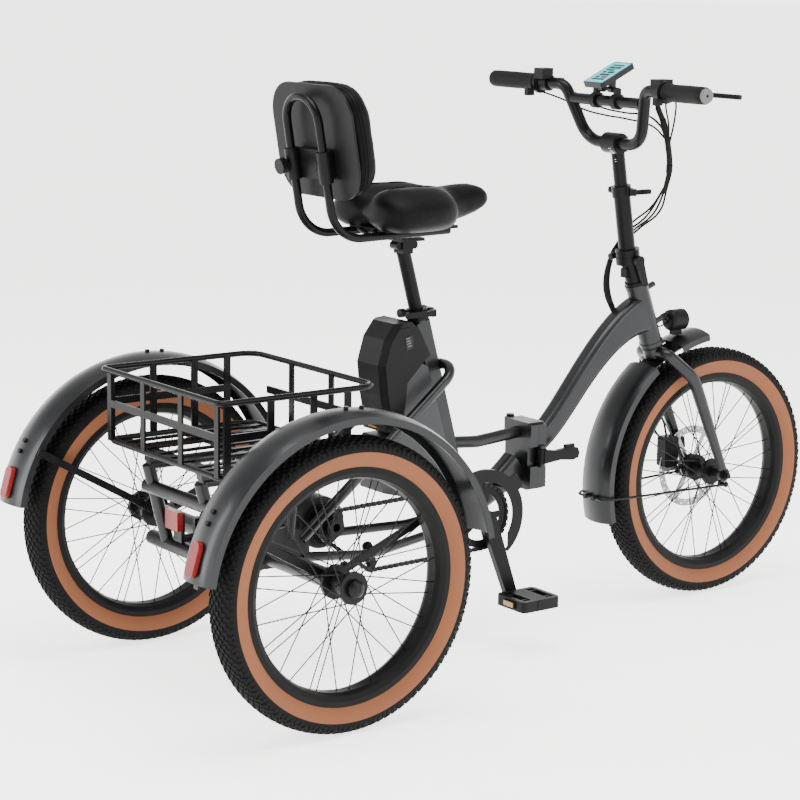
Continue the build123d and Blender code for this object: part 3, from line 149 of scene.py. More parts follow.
rubber = surface("black rubber", (0.003, 0.003, 0.003), (0.0065, 0.0065, 0.0065), 0.60,
                 grain=900, bump=0.2, spec=0.08)
plastic = surface("black plastic", (0.003, 0.003, 0.0034), (0.0065, 0.0065, 0.007), 0.40,
                  grain=1500, bump=0.15, spec=0.09)
grey_plastic = surface("grey housing", (0.020, 0.021, 0.022), (0.032, 0.033, 0.035), 0.42,
                       metal=0.4, grain=1800, spec=0.3)
gloss_black = surface("gloss cover", (0.002, 0.002, 0.003), (0.004, 0.004, 0.005), 0.25,
                      grain=200, bump=0.01, spec=0.2)
red_lens = surface("red lens", (0.11, 0.003, 0.004), (0.20, 0.006, 0.006), 0.22,
                   grain=300, bump=0.3, coat=0.15, spec=0.3)
skin = pebbled("soft cover", (0.0014, 0.0014, 0.0016), (0.0034, 0.0034, 0.0037), 0.47, 620, 0.20)
screen = surface("display screen", (0.03, 0.34, 0.40), (0.06, 0.46, 0.52), 0.3,
                 grain=260, bump=0.0, spec=0.2)
amber = surface("amber reflector", (0.20, 0.095, 0.008), (0.30, 0.15, 0.014), 0.25,
                grain=300, bump=0.2, coat=0.3)
silver_plastic = surface("silver plastic", (0.070, 0.072, 0.075), (0.11, 0.112, 0.115), 0.4,
                         metal=0.2, grain=600, spec=0.3)
lens_clear = surface("lamp lens", (0.55, 0.57, 0.58), (0.72, 0.74, 0.75), 0.10,
                     grain=90, bump=0.3, coat=0.9)
paint_white = surface("scale paint", (0.55, 0.55, 0.55), (0.68, 0.68, 0.68), 0.5, grain=900)

FINISH = {
    "graphite_paint": graphite, "black_paint": black_paint, "black_alloy": black_alloy,
    "bare_steel": bright_steel, "dark_steel": dark_steel, "cast_metal": casting,
    "tyre_rubber": tread_rubber, "black_rubber": rubber, "black_plastic": plastic,
    "grey_plastic": grey_plastic, "gloss_black": gloss_black, "red_lens": red_lens, "leather_black": skin,
}
SLOT_OF = {entry["node"]: entry["material_slot"] for entry in frame["record"]["subparts"]}


def shade(piece, finish):
    piece.data.materials.clear()
    piece.data.materials.append(finish)


for name, piece in node.items():
    shade(piece, FINISH[SLOT_OF[name]])

# ---------------------------------------------------------------- camera, floor and light
EYE = Vector((-2.8146, -3.5751, 1.3580))
YAW, PITCH, ROLL = 0.9390, -0.1915, 0.0138
ahead = Vector((math.cos(YAW) * math.cos(PITCH), math.sin(YAW) * math.cos(PITCH), math.sin(PITCH)))
right = Vector((math.sin(YAW), -math.cos(YAW), 0))
above = right.cross(ahead)
turned_right = right * math.cos(ROLL) + above * math.sin(ROLL)
turned_up = above * math.cos(ROLL) - right * math.sin(ROLL)
camera_data = bpy.data.cameras.new("camera")
camera_data.lens = 105.7
camera_data.sensor_width = 36.0
camera_data.clip_end = 60
camera = bpy.data.objects.new("camera", camera_data)
scene.collection.objects.link(camera)
pose = Matrix((turned_right, turned_up, -ahead)).transposed().to_4x4()
pose.translation = EYE
camera.matrix_world = pose
scene.camera = camera

FLOOR_SIZE, FLOOR_GLOW = 160, 2.3
bpy.ops.mesh.primitive_plane_add(size=FLOOR_SIZE, location=(0, 0, 0))
floor = bpy.context.object
floor.name = "studio floor"
paper = surface("floor paper", (0.90, 0.90, 0.885), (0.93, 0.93, 0.915), 0.9, grain=30, bump=0.0, spec=0.1)
glow = paper.node_tree.nodes["Principled BSDF"]
paper.node_tree.links.new(paper.node_tree.nodes["Color Ramp"].outputs["Color"], glow.inputs["Emission Color"])
glow.inputs["Emission Strength"].default_value = FLOOR_GLOW
shade(floor, paper)


def area_light(name, place, aim, wide, tall, power):
    data = bpy.data.lights.new(name, "AREA")
    data.shape = "RECTANGLE"
    data.size = wide
    data.size_y = tall
    data.energy = power
    lamp = bpy.data.objects.new(name, data)
    scene.collection.objects.link(lamp)
    lamp.location = place
    lamp.rotation_euler = (Vector(aim) - Vector(place)).to_track_quat("-Z", "Y").to_euler()


area_light("top softbox", (-0.4, -0.6, 4.2), (0, 0, 0.3), 3.2, 2.2, 230)
area_light("left strip", (-4.2, 1.6, 1.8), (0, 0, 0.5), 0.8, 3.0, 130)
area_light("right softbox", (1.8, -4.4, 2.2), (0, 0, 0.4), 1.8, 2.4, 80)
# the sky is as bright as the floor at the horizon and dimmer above
world = bpy.data.worlds.new("studio")
scene.world = world
world.use_nodes = True
backdrop = world.node_tree.nodes["Background"]
backdrop.inputs["Color"].default_value = (1.0, 1.0, 0.99, 1)
skyward = world.node_tree.nodes.new("ShaderNodeTexCoord").outputs["Generated"]
height = world.node_tree.nodes.new("ShaderNodeSeparateXYZ")
fade = world.node_tree.nodes.new("ShaderNodeMapRange")
fade.interpolation_type = "SMOOTHSTEP"
for socket, value in (("From Min", 0.10), ("From Max", 0.42), ("To Min", 3.6), ("To Max", 1.15)):
    fade.inputs[socket].default_value = value
world.node_tree.links.new(skyward, height.inputs["Vector"])
world.node_tree.links.new(height.outputs["Z"], fade.inputs["Value"])
world.node_tree.links.new(fade.outputs["Result"], backdrop.inputs["Strength"])


# ---------------------------------------------------------------- mesh helpers
def mesh_object(name, points, faces, finishes, which=None, smooth=True):
    data = bpy.data.meshes.new(name)
    data.from_pydata(points, [], faces)
    piece = bpy.data.objects.new(name, data)
    scene.collection.objects.link(piece)
    for finish in finishes:
        data.materials.append(finish)
    if which:
        data.polygons.foreach_set("material_index", which)
    data.polygons.foreach_set("use_smooth", [smooth] * len(faces))
    data.update()
    return piece


def wheel_place(centre, across, radius, angle):
    return (centre[0] + radius * math.cos(angle), centre[1] + across, centre[2] + radius * math.sin(angle))


# ---------------------------------------------------------------- tyres: casing, tan walls, tread blocks
WHEEL_R = 0.265
# half of the casing's section, from the bead to the crown: (across, radius) in millimetres
HALF_CASING = [(17, 206), (22.2, 206), (23.4, 212.5), (27, 217), (30.5, 225), (32.2, 233), (32.8, 240),
               (32.0, 247), (29.5, 252), (26, 256), (20, 259), (12, 261)]
CASING = [(-a, r) for a, r in HALF_CASING] + [(0, 262)] + HALF_CASING[::-1]
# the tan wall lies between two radii and outside a distance from the middle plane
TAN_LOW, TAN_HIGH, TAN_FROM = 212.0, 239.5, 20
WIDEST_R = 240
AROUND = 240


def casing_at(across):
    """Radius of the casing's outer surface at a distance from the middle plane."""
    top = [p for p in CASING if p[1] >= WIDEST_R]
    for (a0, r0), (a1, r1) in zip(top, top[1:]):
        if a0 <= across <= a1:
            return r0 + (r1 - r0) * (across - a0) / (a1 - a0)
    return top[0][1]


# rows of tread blocks: (centre across, half width, half length, pitch phase), in millimetres
ROWS = [(0.0, 3.0, 5.2, 0.0), (7.6, 2.8, 4.6, 0.5), (-7.6, 2.8, 4.6, 0.5), (14.8, 2.7, 4.4, 0.0),
        (-14.8, 2.7, 4.4, 0.0), (21.6, 2.6, 4.6, 0.5), (-21.6, 2.6, 4.6, 0.5), (27.4, 2.0, 4.0, 0.0),
        (-27.4, 2.0, 4.0, 0.0)]
BLOCKS, BLOCK_LIFT, BLOCK_SUNK, BLOCK_TOP, BLOCK_LEAN = 98, 3.4, 0.6, 0.80, 0.018
# ribs on the shoulder, long and short in turn: (half length, lowest radius)
SIDE_RIBS, LONG_RIB, SHORT_RIB = 148, (3.3, 243.5), (2.6, 246.0)
# the five open sides of a block whose base is sunk in the casing
BLOCK_SIDES = ((4, 5, 7, 6), (0, 1, 5, 4), (2, 6, 7, 3), (0, 4, 6, 2), (1, 3, 7, 5))


def tread_block(points, faces, centre, corners, angle, half_angle):
    """One raised block; corners are the (across, radius) pairs of the two sides of its base."""
    start = len(points)
    for level, shrink in ((0.0, 1.0), (BLOCK_LIFT, BLOCK_TOP)):
        middle = sum(c[0] for c in corners) / 2
        for across, radius in corners:
            outward = Vector((across * BLOCK_LEAN, 1.0)).normalized()
            a = middle + (across - middle) * shrink + outward.x * level * 0.8
            r = radius + outward.y * level
            for way in (-1, 1):
                points.append(wheel_place(centre, a / 1000, r / 1000, angle + way * half_angle * shrink))
    faces.extend([tuple(start + i for i in quad) for quad in BLOCK_SIDES])


def tyre(name, centre, body):
    points, faces, which = [], [], []
    count = len(CASING)
    for step in range(AROUND):
        angle = 2 * math.pi * step / AROUND
        points.extend(wheel_place(centre, a / 1000, r / 1000, angle) for a, r in CASING)
    for step in range(AROUND):
        here, there = step * count, ((step + 1) % AROUND) * count
        for i in range(count - 1):
            faces.append((here + i, here + i + 1, there + i + 1, there + i))
            middle = (CASING[i][1] + CASING[i + 1][1]) / 2
            which.append(1 if TAN_LOW < middle < TAN_HIGH and abs(CASING[i][0]) > TAN_FROM else 0)
    smooth_faces = len(faces)
    for across, half_wide, half_long, phase in ROWS:
        for step in range(BLOCKS):
            angle = 2 * math.pi * (step + phase) / BLOCKS
            corners = [(edge, casing_at(edge) - BLOCK_SUNK)
                       for edge in (across - half_wide, across + half_wide)]
            tread_block(points, faces, centre, corners, angle, half_long / WHEEL_R / 1000)
    for side in (-1, 1):
        for step in range(SIDE_RIBS):
            angle = 2 * math.pi * (step + 0.25) / SIDE_RIBS
            start = len(points)
            long, low = LONG_RIB if step % 2 else SHORT_RIB
            for across, radius, stretch in ((32.2, low, 1.0), (29.3, 252.6, 1.0), (33.0, low + 0.8, 0.7),
                                            (31.1, 253.6, 0.7)):
                for way in (-1, 1):
                    turn = angle + way * long * stretch / WHEEL_R / 1000
                    points.append(wheel_place(centre, side * across / 1000, radius / 1000, turn))
            for quad in BLOCK_SIDES:
                faces.append(tuple(start + i for i in (quad if side > 0 else quad[::-1])))
    which += [0] * (len(faces) - smooth_faces)
    piece = mesh_object(f"{name}_treaded", points, faces, [tread_rubber, tan_wall], which)
    flat = [True] * smooth_faces + [False] * (len(faces) - smooth_faces)
    piece.data.polygons.foreach_set("use_smooth", flat)
    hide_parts(name)
    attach(piece, body)


WHEELS = {
    "front": ((0.609, 0.0, WHEEL_R), "front_wheel"),
    "rear_left": ((-0.560, 0.338, WHEEL_R), "rear_left_wheel"),
    "rear_right": ((-0.560, -0.338, WHEEL_R), "rear_right_wheel"),
}
for prefix, (centre, body) in WHEELS.items():
    tyre(f"{prefix}_tyre", centre, body)
    shade(node[f"{prefix}_rim"], rim_black)
    shade(node[f"{prefix}_spokes"], dark_steel)


# ---------------------------------------------------------------- soft parts
VOXEL, PRESSURE, SIM_FRAMES = 0.006, 4.0, 20
TURNED_SIDES = 40
BOX_SIDES = ((0, 1, 3, 2), (4, 6, 7, 5), (0, 4, 5, 1), (2, 3, 7, 6), (0, 2, 6, 4), (1, 5, 7, 3))


def bulge(angle, power):
    """A point on the unit superellipse."""
    c, s = math.cos(angle), math.sin(angle)
    return (math.copysign(abs(c) ** (2 / power), c), math.copysign(abs(s) ** (2 / power), s))


def lofted(name, rings, finish):
    """A closed form through rings of equal count, its ends closed with a fan."""
    points, faces = [], []
    count = len(rings[0])
    for loop in rings:
        points.extend(loop)
    for level in range(len(rings) - 1):
        here, there = level * count, (level + 1) * count
        for i in range(count):
            j = (i + 1) % count
            faces.append((here + i, here + j, there + j, there + i))
    for base, flip in ((0, True), ((len(rings) - 1) * count, False)):
        loop = points[base:base + count]
        points.append(tuple(sum(p[k] for p in loop) / count for k in range(3)))
        tip = len(points) - 1
        for i in range(count):
            j = (i + 1) % count
            faces.append((base + j, base + i, tip) if flip else (base + i, base + j, tip))
    piece = mesh_object(name, points, faces, [finish])
    shape = bmesh.new()
    shape.from_mesh(piece.data)
    bmesh.ops.recalc_face_normals(shape, faces=shape.faces)
    shape.to_mesh(piece.data)
    shape.free()
    return piece


def applied(piece):
    """Bake the modifiers of a piece into its mesh."""
    graph = bpy.context.evaluated_depsgraph_get()
    finished = bpy.data.meshes.new_from_object(piece.evaluated_get(graph))
    piece.modifiers.clear()
    piece.data = finished


def inflate(piece, cap, calming):
    """Stuff a closed form: remesh it, blow it up as cloth by cap at most, and calm its skin."""
    remesh = piece.modifiers.new("even mesh", "REMESH")
    remesh.mode = "VOXEL"
    remesh.voxel_size = VOXEL
    applied(piece)
    rest = [v.co.copy() for v in piece.data.vertices]
    cloth = piece.modifiers.new("stuffing", "CLOTH")
    cloth.settings.quality = 6
    cloth.settings.mass = 0.3
    cloth.settings.tension_stiffness = 18
    cloth.settings.bending_stiffness = 0.6
    cloth.settings.use_pressure = True
    cloth.settings.uniform_pressure_force = PRESSURE
    cloth.settings.effector_weights.gravity = 0
    cloth.point_cache.frame_start = 1
    cloth.point_cache.frame_end = SIM_FRAMES
    for frame_number in range(1, SIM_FRAMES + 1):
        scene.frame_set(frame_number)
    graph = bpy.context.evaluated_depsgraph_get()
    blown = [v.co.copy() for v in piece.evaluated_get(graph).data.vertices]
    piece.modifiers.clear()
    scene.frame_set(1)
    for vertex, before, after in zip(piece.data.vertices, rest, blown):
        move = after - before
        if move.length > cap:
            move = move.normalized() * cap
        vertex.co = before + move
    calm = piece.modifiers.new("even skin", "SMOOTH")
    calm.factor = 0.6
    calm.iterations = calming
    applied(piece)
    finer = piece.modifiers.new("finer", "SUBSURF")
    finer.levels = finer.render_levels = 1
    applied(piece)
    piece.data.polygons.foreach_set("use_smooth", [True] * len(piece.data.polygons))


def tube(name, points, radius, finish, closed=False):
    """A round cord along points, as a mesh."""
    line = bpy.data.curves.new(name, "CURVE")
    line.dimensions = "3D"
    line.bevel_depth = radius
    line.bevel_resolution = 3
    line.resolution_u = 6
    line.use_fill_caps = True
    spline = line.splines.new("BEZIER")
    spline.bezier_points.add(len(points) - 1)
    for knot, place in zip(spline.bezier_points, points):
        knot.co = place
        knot.handle_left_type = knot.handle_right_type = "AUTO"
    spline.use_cyclic_u = closed
    holder = bpy.data.objects.new(name, line)
    scene.collection.objects.link(holder)
    graph = bpy.context.evaluated_depsgraph_get()
    data = bpy.data.meshes.new_from_object(holder.evaluated_get(graph))
    bpy.data.objects.remove(holder)
    piece = bpy.data.objects.new(name, data)
    scene.collection.objects.link(piece)
    shade(piece, finish)
    data.polygons.foreach_set("use_smooth", [True] * len(data.polygons))
    return piece


def laid_on(surface_piece, points):
    """Points moved onto the nearest place of a finished piece."""
    found = []
    to_local = surface_piece.matrix_world.inverted()
    for place in points:
        _, spot, _, _ = surface_piece.closest_point_on_mesh(to_local @ Vector(place))
        found.append(surface_piece.matrix_world @ spot)
    return found


def lathe(name, origin, way, profile, finish):
    """A form turned about a line; the profile is (distance along, radius) in millimetres."""
    way = Vector(way).normalized()
    first = way.orthogonal().normalized()
    second = way.cross(first)
    rings = []
    for reach, radius in profile:
        middle = Vector(origin) + way * reach / 1000
        rings.append([tuple(middle + (first * math.cos(t) + second * math.sin(t)) * radius / 1000)
                      for t in (2 * math.pi * i / TURNED_SIDES for i in range(TURNED_SIDES))])
    return lofted(name, rings, finish)


def boxes(name, frames, finish):
    """Small bricks as one mesh; each frame is (centre, three half-size vectors)."""
    points, faces = [], []
    for middle, along_u, along_v, along_w in frames:
        start = len(points)
        for i in (-1, 1):
            for j in (-1, 1):
                for k in (-1, 1):
                    reach = Vector(along_u) * i + Vector(along_v) * j + Vector(along_w) * k
                    points.append(tuple(Vector(middle) + reach))
        faces.extend([tuple(start + n for n in quad) for quad in BOX_SIDES])
    return mesh_object(name, points, faces, [finish], smooth=False)


def metres(points):
    return [tuple(c / 1000 for c in p) for p in points]


def fitted(piece, body):
    """Give a detail its place in the assembly."""
    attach(piece, body)


def bent(piece):
    """Bake a rubber cord's place into its mesh."""
    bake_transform(piece)


# saddle: (x, half width, top, bottom, depth of the middle channel), all in millimetres
SADDLE = [(-306, 88, 884, 848, 5), (-303, 104, 894, 840, 9), (-295, 116, 902, 834, 15),
          (-278, 124, 908, 830, 21), (-244, 127, 911, 828, 25), (-204, 126, 911, 828, 22),
          (-170, 119, 910, 828, 16), (-144, 107, 908, 829, 10), (-126, 90, 905, 830, 5),
          (-113, 68, 901, 833, 2), (-98, 54, 901, 838, 0), (-72, 46, 904, 844, 0), (-42, 42, 906, 851, 0),
          (-16, 36, 903, 858, 0), (-3, 26, 896, 864, 0), (2, 14, 887, 870, 0)]
TAIL_START, TAIL_LENGTH, WIDEST = 244, 62, 127      # where the rounding of the rear begins
CLEFT_DEPTH, CLEFT_WIDE, CORNER_ROUND = 20, 30, 34  # notch between the lobes, and their outer corners
CORNER_FROM, CHANNEL_WIDE, CROWN, BELLY = 0.45, 26, 0.10, 0.25
SADDLE_POINTS, SADDLE_POWER, SEAM_R = 48, 2.7, 0.0011


def saddle_ring(x, half, top, bottom, dip):
    """One section of the saddle: two lobes at the back with a channel between, one nose in front."""
    ring = []
    middle, rise = (top + bottom) / 2, (top - bottom) / 2
    tail = max(0.0, (-x - TAIL_START) / TAIL_LENGTH)
    for i in range(SADDLE_POINTS):
        across, up = bulge(2 * math.pi * i / SADDLE_POINTS, SADDLE_POWER)
        z = middle + rise * up
        away = across * half
        cleft = CLEFT_DEPTH * tail * math.exp(-(away / CLEFT_WIDE) ** 2)
        corner = CORNER_ROUND * tail * max(0.0, abs(away) / WIDEST - CORNER_FROM) ** 1.5
        if up > 0:
            z -= dip * math.exp(-(away / CHANNEL_WIDE) ** 2) * up
            z -= CROWN * rise * abs(across) ** 3
        else:
            z += BELLY * rise * (1 - abs(across)) * -up
        ring.append(((x + cleft + corner) / 1000, away / 1000, z / 1000))
    return ring


saddle = lofted("saddle_cushion", [saddle_ring(*row) for row in SADDLE], skin)
inflate(saddle, cap=0.006, calming=22)
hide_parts("saddle")
for side in (1, -1):
    path = [(-0.112, side * 0.080, 0.836), (-0.108, side * 0.076, 0.862), (-0.110, side * 0.066, 0.892),
            (-0.122, side * 0.048, 0.908), (-0.160, side * 0.044, 0.912), (-0.215, side * 0.046, 0.914),
            (-0.262, side * 0.048, 0.906), (-0.292, side * 0.044, 0.892)]
    seam = tube(f"saddle_seam_{'left' if side > 0 else 'right'}", laid_on(saddle, path), SEAM_R, skin)
    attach(seam, "seat")
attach(saddle, "seat")

# backrest cushion: rounded square, crowned towards the rider
LEAN = Vector((-45.0, 0, 261.0)).normalized()
FACING = Vector((LEAN.z, 0, -LEAN.x))
PAD_MIDDLE = Vector((-0.371, 0, 1.008))
PAD_HALF_WIDE, PAD_HALF_TALL, PAD_POWER, PAD_POINTS = 0.1290, 0.1065, 3.7, 56
PIPING_POINTS, PIPING_SHARE, PIPING_R = 64, 1.06, 0.0013
PIPING_DEPTHS = (-13.0, -4.0)
# (depth towards the rider in millimetres, share of the half size)
PAD_LAYERS = [(-23.3, 0.955), (-19, 0.985), (-12, 1.0), (2, 1.0), (10, 0.992), (16, 0.965), (20, 0.91),
              (23.5, 0.80), (26, 0.62), (27.4, 0.36)]


def pad_point(angle, share, depth):
    """A place on the cushion: share of its half size, depth in millimetres towards the rider."""
    across, up = bulge(angle, PAD_POWER)
    sideways = Vector((0, 1, 0)) * (across * share * PAD_HALF_WIDE)
    return PAD_MIDDLE + sideways + LEAN * (up * share * PAD_HALF_TALL) + FACING * depth / 1000


pad_rings = [[tuple(pad_point(2 * math.pi * i / PAD_POINTS, share, depth)) for i in range(PAD_POINTS)]
             for depth, share in PAD_LAYERS]
pad = lofted("backrest_cushion", pad_rings, skin)
inflate(pad, cap=0.005, calming=10)
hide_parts("backrest_pad")
for turn, depth in enumerate(PIPING_DEPTHS):
    loop = laid_on(pad, [pad_point(2 * math.pi * i / PIPING_POINTS, PIPING_SHARE, depth)
                         for i in range(PIPING_POINTS)])
    piping = tube(f"backrest_piping_{turn}", loop, PIPING_R, skin, closed=True)
    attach(piping, "backrest")
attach(pad, "backrest")

# ---------------------------------------------------------------- handlebar details
GRIP_END, BAR_ELBOW = Vector((0.270, 0.322, 1.086)), Vector((0.297, 0.122, 1.084))
INWARD = (BAR_ELBOW - GRIP_END).normalized()


def other_side(v):
    return Vector((v.x, -v.y, v.z))


GRIP = [(0.5, 15.2), (4, 16.8), (20, 17.2), (60, 17.4), (112, 17.0), (117, 17.6), (119, 19.2), (124, 19.2),
        (125.5, 17)]
RIGHT_END, RIGHT_INWARD = other_side(GRIP_END), other_side(INWARD)
left_grip = lathe("grip_left", GRIP_END, INWARD, [(-4, 4), (-3.4, 9), (-1.4, 13)] + GRIP, rubber)
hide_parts("grips")
fitted(left_grip, "bar")
fitted(lathe("grip_right", RIGHT_END, RIGHT_INWARD, [(-1, 14.2)] + GRIP, rubber), "bar")
END_CAP = [(-4.4, 11), (-4, 13.4), (-2.6, 14.6), (-0.4, 14.9)]
fitted(lathe("grip_end_cap", RIGHT_END, RIGHT_INWARD, END_CAP, silver_plastic), "bar")
END_SCREW = [(-4.9, 2.2), (-4.3, 3.0)]
fitted(lathe("grip_end_screw", RIGHT_END, RIGHT_INWARD, END_SCREW, plastic), "bar")

# display: a lit panel with plain bars on it
TILT = math.radians(25)
SLAB_X = Vector((math.cos(TILT), 0, math.sin(TILT)))
SLAB_Z = Vector((-math.sin(TILT), 0, math.cos(TILT)))
SLAB = Vector((0.310, 0, 1.103))
TILE_HALF_THICK, PANEL_HEIGHT, BARS_HEIGHT = 0.15, 11.2, 11.5


def slab_tile(u, v, height, half_u, half_v):
    """A thin brick on the tilted face of the display, in millimetres from its middle."""
    centre = SLAB + SLAB_X * u / 1000 + Vector((0, 1, 0)) * v / 1000 + SLAB_Z * height / 1000
    return (centre, SLAB_X * half_u / 1000, Vector((0, half_v / 1000, 0)), SLAB_Z * TILE_HALF_THICK / 1000)


fitted(boxes("display_panel", [slab_tile(0, 0, PANEL_HEIGHT, 42, 26)], screen), "display")
# plain bars: (place up the screen, place across it, half length up, half length across)
BARS = [(-29, 0, 3, 18), (-20, -9, 3, 8), (-20, 10, 3, 6), (-10, 0, 4, 14), (1, -8, 4, 9), (1, 11, 3, 5),
        (11, 4, 3, 12), (21, -10, 4, 7), (21, 8, 4, 9), (31, 0, 2.5, 17)]
marks = [slab_tile(u, v, BARS_HEIGHT, half_u, half_v) for u, v, half_u, half_v in BARS]
fitted(boxes("display_bars", marks, gloss_black), "display")

# ---------------------------------------------------------------- control cables
# each stage of the cable bundle spans one joint
RUN_BAR = [(334, -118, 1050), (352, -118, 1018), (374, -110, 968), (388, -100, 922), (394, -84, 886)]
RUN_STEM = [(394, -84, 886), (400, -44, 830), (396, 16, 786), (372, 44, 744)]
RUN_HEAD = [(372, 44, 744), (356, 42, 700), (346, 28, 662), (350, 10, 624)]
SPREAD = [(0, 0, 0), (9, -3, 3), (-9, 4, -3), (3, 9, 8)]
# (name, run, body above, body below, how far the strands stand apart between the ends)
STAGES = (("bar_loop", RUN_BAR, "bar", "stem", 0.4), ("stem_loop", RUN_STEM, "stem", "steering", 1.4),
          ("head_loop", RUN_HEAD, "steering", "front_half", 0.5))
STRAND_R, CORD_R, HOSE_R, WIRE_R = 0.0022, 0.0019, 0.0024, 0.0016
END_SPREAD = 0.35
first_cable = None
for stage, run, upper, lower, looseness in STAGES:
    last = len(run) - 1
    for strand, spread in enumerate(SPREAD):
        shape = []
        for place, (x, y, z) in enumerate(run):
            share = looseness if 0 < place < last else END_SPREAD
            shape.append((x + spread[0] * share, y + spread[1] * share, z + spread[2] * share))
        cable = tube(f"{stage}_{strand}", metres(shape), STRAND_R, rubber)
        bent(cable)
        first_cable = first_cable or cable
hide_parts("control_cables")
# (name, run, radius, number of the stage it follows)
SLEEVES = (("cable_conduit", [(326, -120, 1064), (350, -118, 1022), (374, -110, 968), (387, -100, 926)],
            0.0050, 0),
           ("conduit_joint_high", [(348, -119, 1026), (354, -118, 1012)], 0.0066, 0),
           ("conduit_joint_low", [(385, -103, 934), (388, -99, 918)], 0.0066, 0),
           ("cable_wrap", [(365, 44, 728), (355, 41, 698), (346, 28, 662), (347, 17, 640)], 0.0058, 2))
for name, run, radius, followed in SLEEVES:
    bent(tube(name, metres(run), radius, rubber))
BAR_RUNS = {
    "left_brake_cable": [(322, 168, 1078), (338, 128, 1062), (336, 84, 1050), (326, 36, 1040),
                         (330, -30, 1034), (344, -84, 1030), (356, -114, 1006)],
    "left_keypad_cable": [(286, 186, 1066), (306, 140, 1052), (322, 92, 1034), (326, 30, 1026),
                          (330, -34, 1022), (348, -92, 1010), (364, -112, 986)],
    "display_cable": [(312, -8, 1086), (326, -28, 1062), (336, -62, 1040), (354, -102, 1016),
                      (370, -110, 972)],
    "right_brake_cable": [(322, -168, 1078), (350, -152, 1064), (366, -134, 1030), (372, -114, 976)],
    "shifter_cable": [(300, -178, 1066), (322, -156, 1048), (350, -134, 1018), (368, -116, 980)],
}
for name, run in BAR_RUNS.items():
    cord = tube(name, metres(run), CORD_R, rubber)
    if name == "display_cable":
        bent(cord)
    else:
        fitted(cord, "bar")
HOSE_RUN = [(424, 27, 636), (446, 38, 590), (472, 62, 530), (500, 84, 430), (538, 76, 340), (556, 60, 318)]
hose = tube("front_brake_hose", metres(HOSE_RUN), HOSE_R, rubber)
bent(hose)
WIRE_RUN = [(488, 0, 592), (474, 10, 584), (462, 18, 584), (452, 24, 600)]
fitted(tube("lamp_wire", metres(WIRE_RUN), WIRE_R, rubber), "front_half")

# height scale printed on the upper stem tube, clear of the lower tube when the stem is pushed down
STEM_LOW, STEM_HIGH = Vector((0.349, 0, 0.885)), Vector((0.327, 0, 0.972))
STEM_WAY = (STEM_HIGH - STEM_LOW).normalized()
SCALE_FROM, SCALE_PITCH, SCALE_MARKS, SCALE_TURN = 0.0495, 0.0045, 8, 0.07
HALF_MARK, HALF_LINE, PAINT = 0.00055, 0.0005, 0.00003
TOWARDS_PRINT = Vector((-0.020, -0.012, 0))
ticks = []
for step in range(SCALE_MARKS):
    at = STEM_LOW + STEM_WAY * (SCALE_FROM + SCALE_PITCH * step) + TOWARDS_PRINT
    spot = laid_on(node["stem_upper_tube"], [at])[0]
    level = STEM_LOW + STEM_WAY * (spot - STEM_LOW).dot(STEM_WAY)
    outward, radius = (spot - level).normalized(), (spot - level).length
    reach = 3 if step % 2 else 2
    for turn in range(-reach, reach + 1):
        facing = Matrix.Rotation(SCALE_TURN * turn, 3, STEM_WAY) @ outward
        ticks.append((level + facing * (radius + PAINT), STEM_WAY.cross(facing) * HALF_MARK,
                      STEM_WAY * HALF_LINE, facing * PAINT))
fitted(boxes("stem_scale", ticks, paint_white), "bar")

# ---------------------------------------------------------------- lamp, pedals, battery
LENS = [(0, 18.4), (1.6, 16.6), (3.0, 12), (3.8, 6), (4.0, 2)]
fitted(lathe("lamp_lens", (0.5286, 0, 0.597), (1, 0, 0), LENS, lens_clear), "front_half")
CRANK, CRANK_LEN, CRANK_TURN = Vector((-0.048, 0, 0.262)), 0.170, math.radians(-69.3)
PEDAL_Y, PEDAL_END = 0.146, 0.0499
for side, name in ((1, "left"), (-1, "right")):
    arm = Vector((math.cos(CRANK_TURN), 0, math.sin(CRANK_TURN))) * (-side * CRANK_LEN)
    middle = CRANK + arm + Vector((0, side * PEDAL_Y, 0))
    plates = [(middle + Vector((x, 0, 0)), (0.0004, 0, 0), (0, 0.0145, 0), (0, 0, 0.0048))
              for x in (-PEDAL_END, PEDAL_END)]
    fitted(boxes(f"pedal_reflectors_{name}", plates, amber), f"pedal_{name}")
# raised plate on each side of the battery: (x, z) in millimetres
COVER = [(-197, 634), (-211, 648), (-235, 645), (-253, 620), (-266, 577), (-260, 523), (-247, 464),
         (-233, 459), (-225, 508), (-222, 545), (-188, 578)]
COVER_OUT, COVER_IN = 0.0466, 0.0446
for side, name in ((1, "left"), (-1, "right")):
    outer = [(x / 1000, side * COVER_OUT, z / 1000) for x, z in COVER]
    inner = [(x / 1000, side * COVER_IN, z / 1000) for x, z in COVER]
    count = len(COVER)
    sides = [(i, (i + 1) % count, count + (i + 1) % count, count + i) for i in range(count)]
    plate = [tuple(range(count))] + sides
    cover = mesh_object(f"battery_cover_{name}", outer + inner, plate, [plastic], smooth=False)
    fitted(cover, "battery")
gauge = [((-0.212, -0.0470, 0.618), (0.0085, 0, 0.002), (0, 0.0004, 0), (-0.002, 0, 0.0125))]
fitted(boxes("battery_gauge", gauge, gloss_black), "battery")
lights = [((-0.212 - 0.0012 * n, -0.0475, 0.612 + 0.005 * n),
           (0.0045, 0, 0.001), (0, 0.0002, 0), (0, 0, 0.0009)) for n in range(4)]
fitted(boxes("battery_gauge_marks", lights, silver_plastic), "battery")

# ---------------------------------------------------------------- chain links
CHAIN_Y, CHAIN_PITCH, WHEEL_STEPS = -0.066, 12.7, 90
# chainring, cassette and tension wheel: (x, z, radius of the chain's line) in millimetres
CHAIN_WHEELS = ((-48, 262, 64.2), (-398, 290, 29.2), (-309, 207, 14.2))
# half length, half width and half height of the outer and the inner links
OUTER_LINK, INNER_LINK = (0.0046, 0.0034, 0.0038), (0.0034, 0.0022, 0.0026)


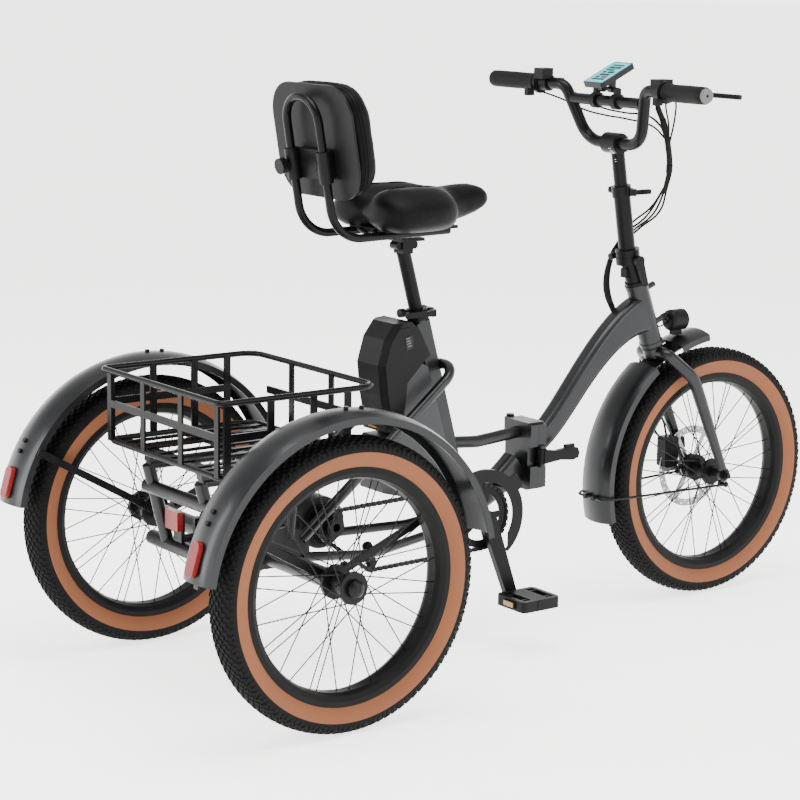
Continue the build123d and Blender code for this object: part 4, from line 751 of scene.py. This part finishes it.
def chain_path():
    """The closed line of the chain: the outside tangents of its three wheels."""
    ring = []
    for x, z, radius in CHAIN_WHEELS:
        ring.extend((x + radius * math.cos(t), z + radius * math.sin(t)) for t in
                    (2 * math.pi * i / WHEEL_STEPS for i in range(WHEEL_STEPS)))
    ring.sort()
    hull = []
    for way in (ring, ring[::-1]):
        part = []
        for p in way:
            while len(part) > 1 and ((part[-1][0] - part[-2][0]) * (p[1] - part[-2][1])
                                     - (part[-1][1] - part[-2][1]) * (p[0] - part[-2][0])) <= 0:
                part.pop()
            part.append(p)
        hull.extend(part[:-1])
    return hull


corner = chain_path()
lengths = [math.dist(a, b) for a, b in zip(corner, corner[1:] + corner[:1])]
links = round(sum(lengths) / CHAIN_PITCH) * 2
link_frames, reached, edge = [], 0.0, 0
for n in range(links):
    want = sum(lengths) * n / links
    while reached + lengths[edge] < want:
        reached += lengths[edge]
        edge += 1
    a, b = corner[edge], corner[(edge + 1) % len(corner)]
    share = (want - reached) / lengths[edge]
    x, z = a[0] + (b[0] - a[0]) * share, a[1] + (b[1] - a[1]) * share
    run = Vector((b[0] - a[0], 0, b[1] - a[1])).normalized()
    up = Vector((-run.z, 0, run.x))
    long, wide, tall = INNER_LINK if n % 2 else OUTER_LINK
    link_frames.append(((x / 1000, CHAIN_Y, z / 1000), run * long, (0, wide, 0), up * tall))
# the two runs that meet at the tension wheel are built as pieces of their own; the rest stays with the frame
MEETING_X, FRONT_RUN_X, FRONT_RUN_TOP, BACK_RUN_TOP = -0.316, -0.060, 0.235, 0.272
RUNS = {"chain_links": [], "chain_front_run": [], "chain_back_run": []}
for link in link_frames:
    x, _, z = link[0]
    if MEETING_X < x < FRONT_RUN_X and z < FRONT_RUN_TOP:
        RUNS["chain_front_run"].append(link)
    elif x <= MEETING_X and z < BACK_RUN_TOP:
        RUNS["chain_back_run"].append(link)
    else:
        RUNS["chain_links"].append(link)
chain = boxes("chain_links", RUNS["chain_links"], dark_steel)
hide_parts("chain")
fitted(chain, "rear_half")
RUN_STARTS = {"chain_front_run": (-0.075, CHAIN_Y, 0.198), "chain_back_run": (-0.405, CHAIN_Y, 0.262)}
for name, start in RUN_STARTS.items():
    run_piece = boxes(name, RUNS[name], dark_steel)
    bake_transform(run_piece)
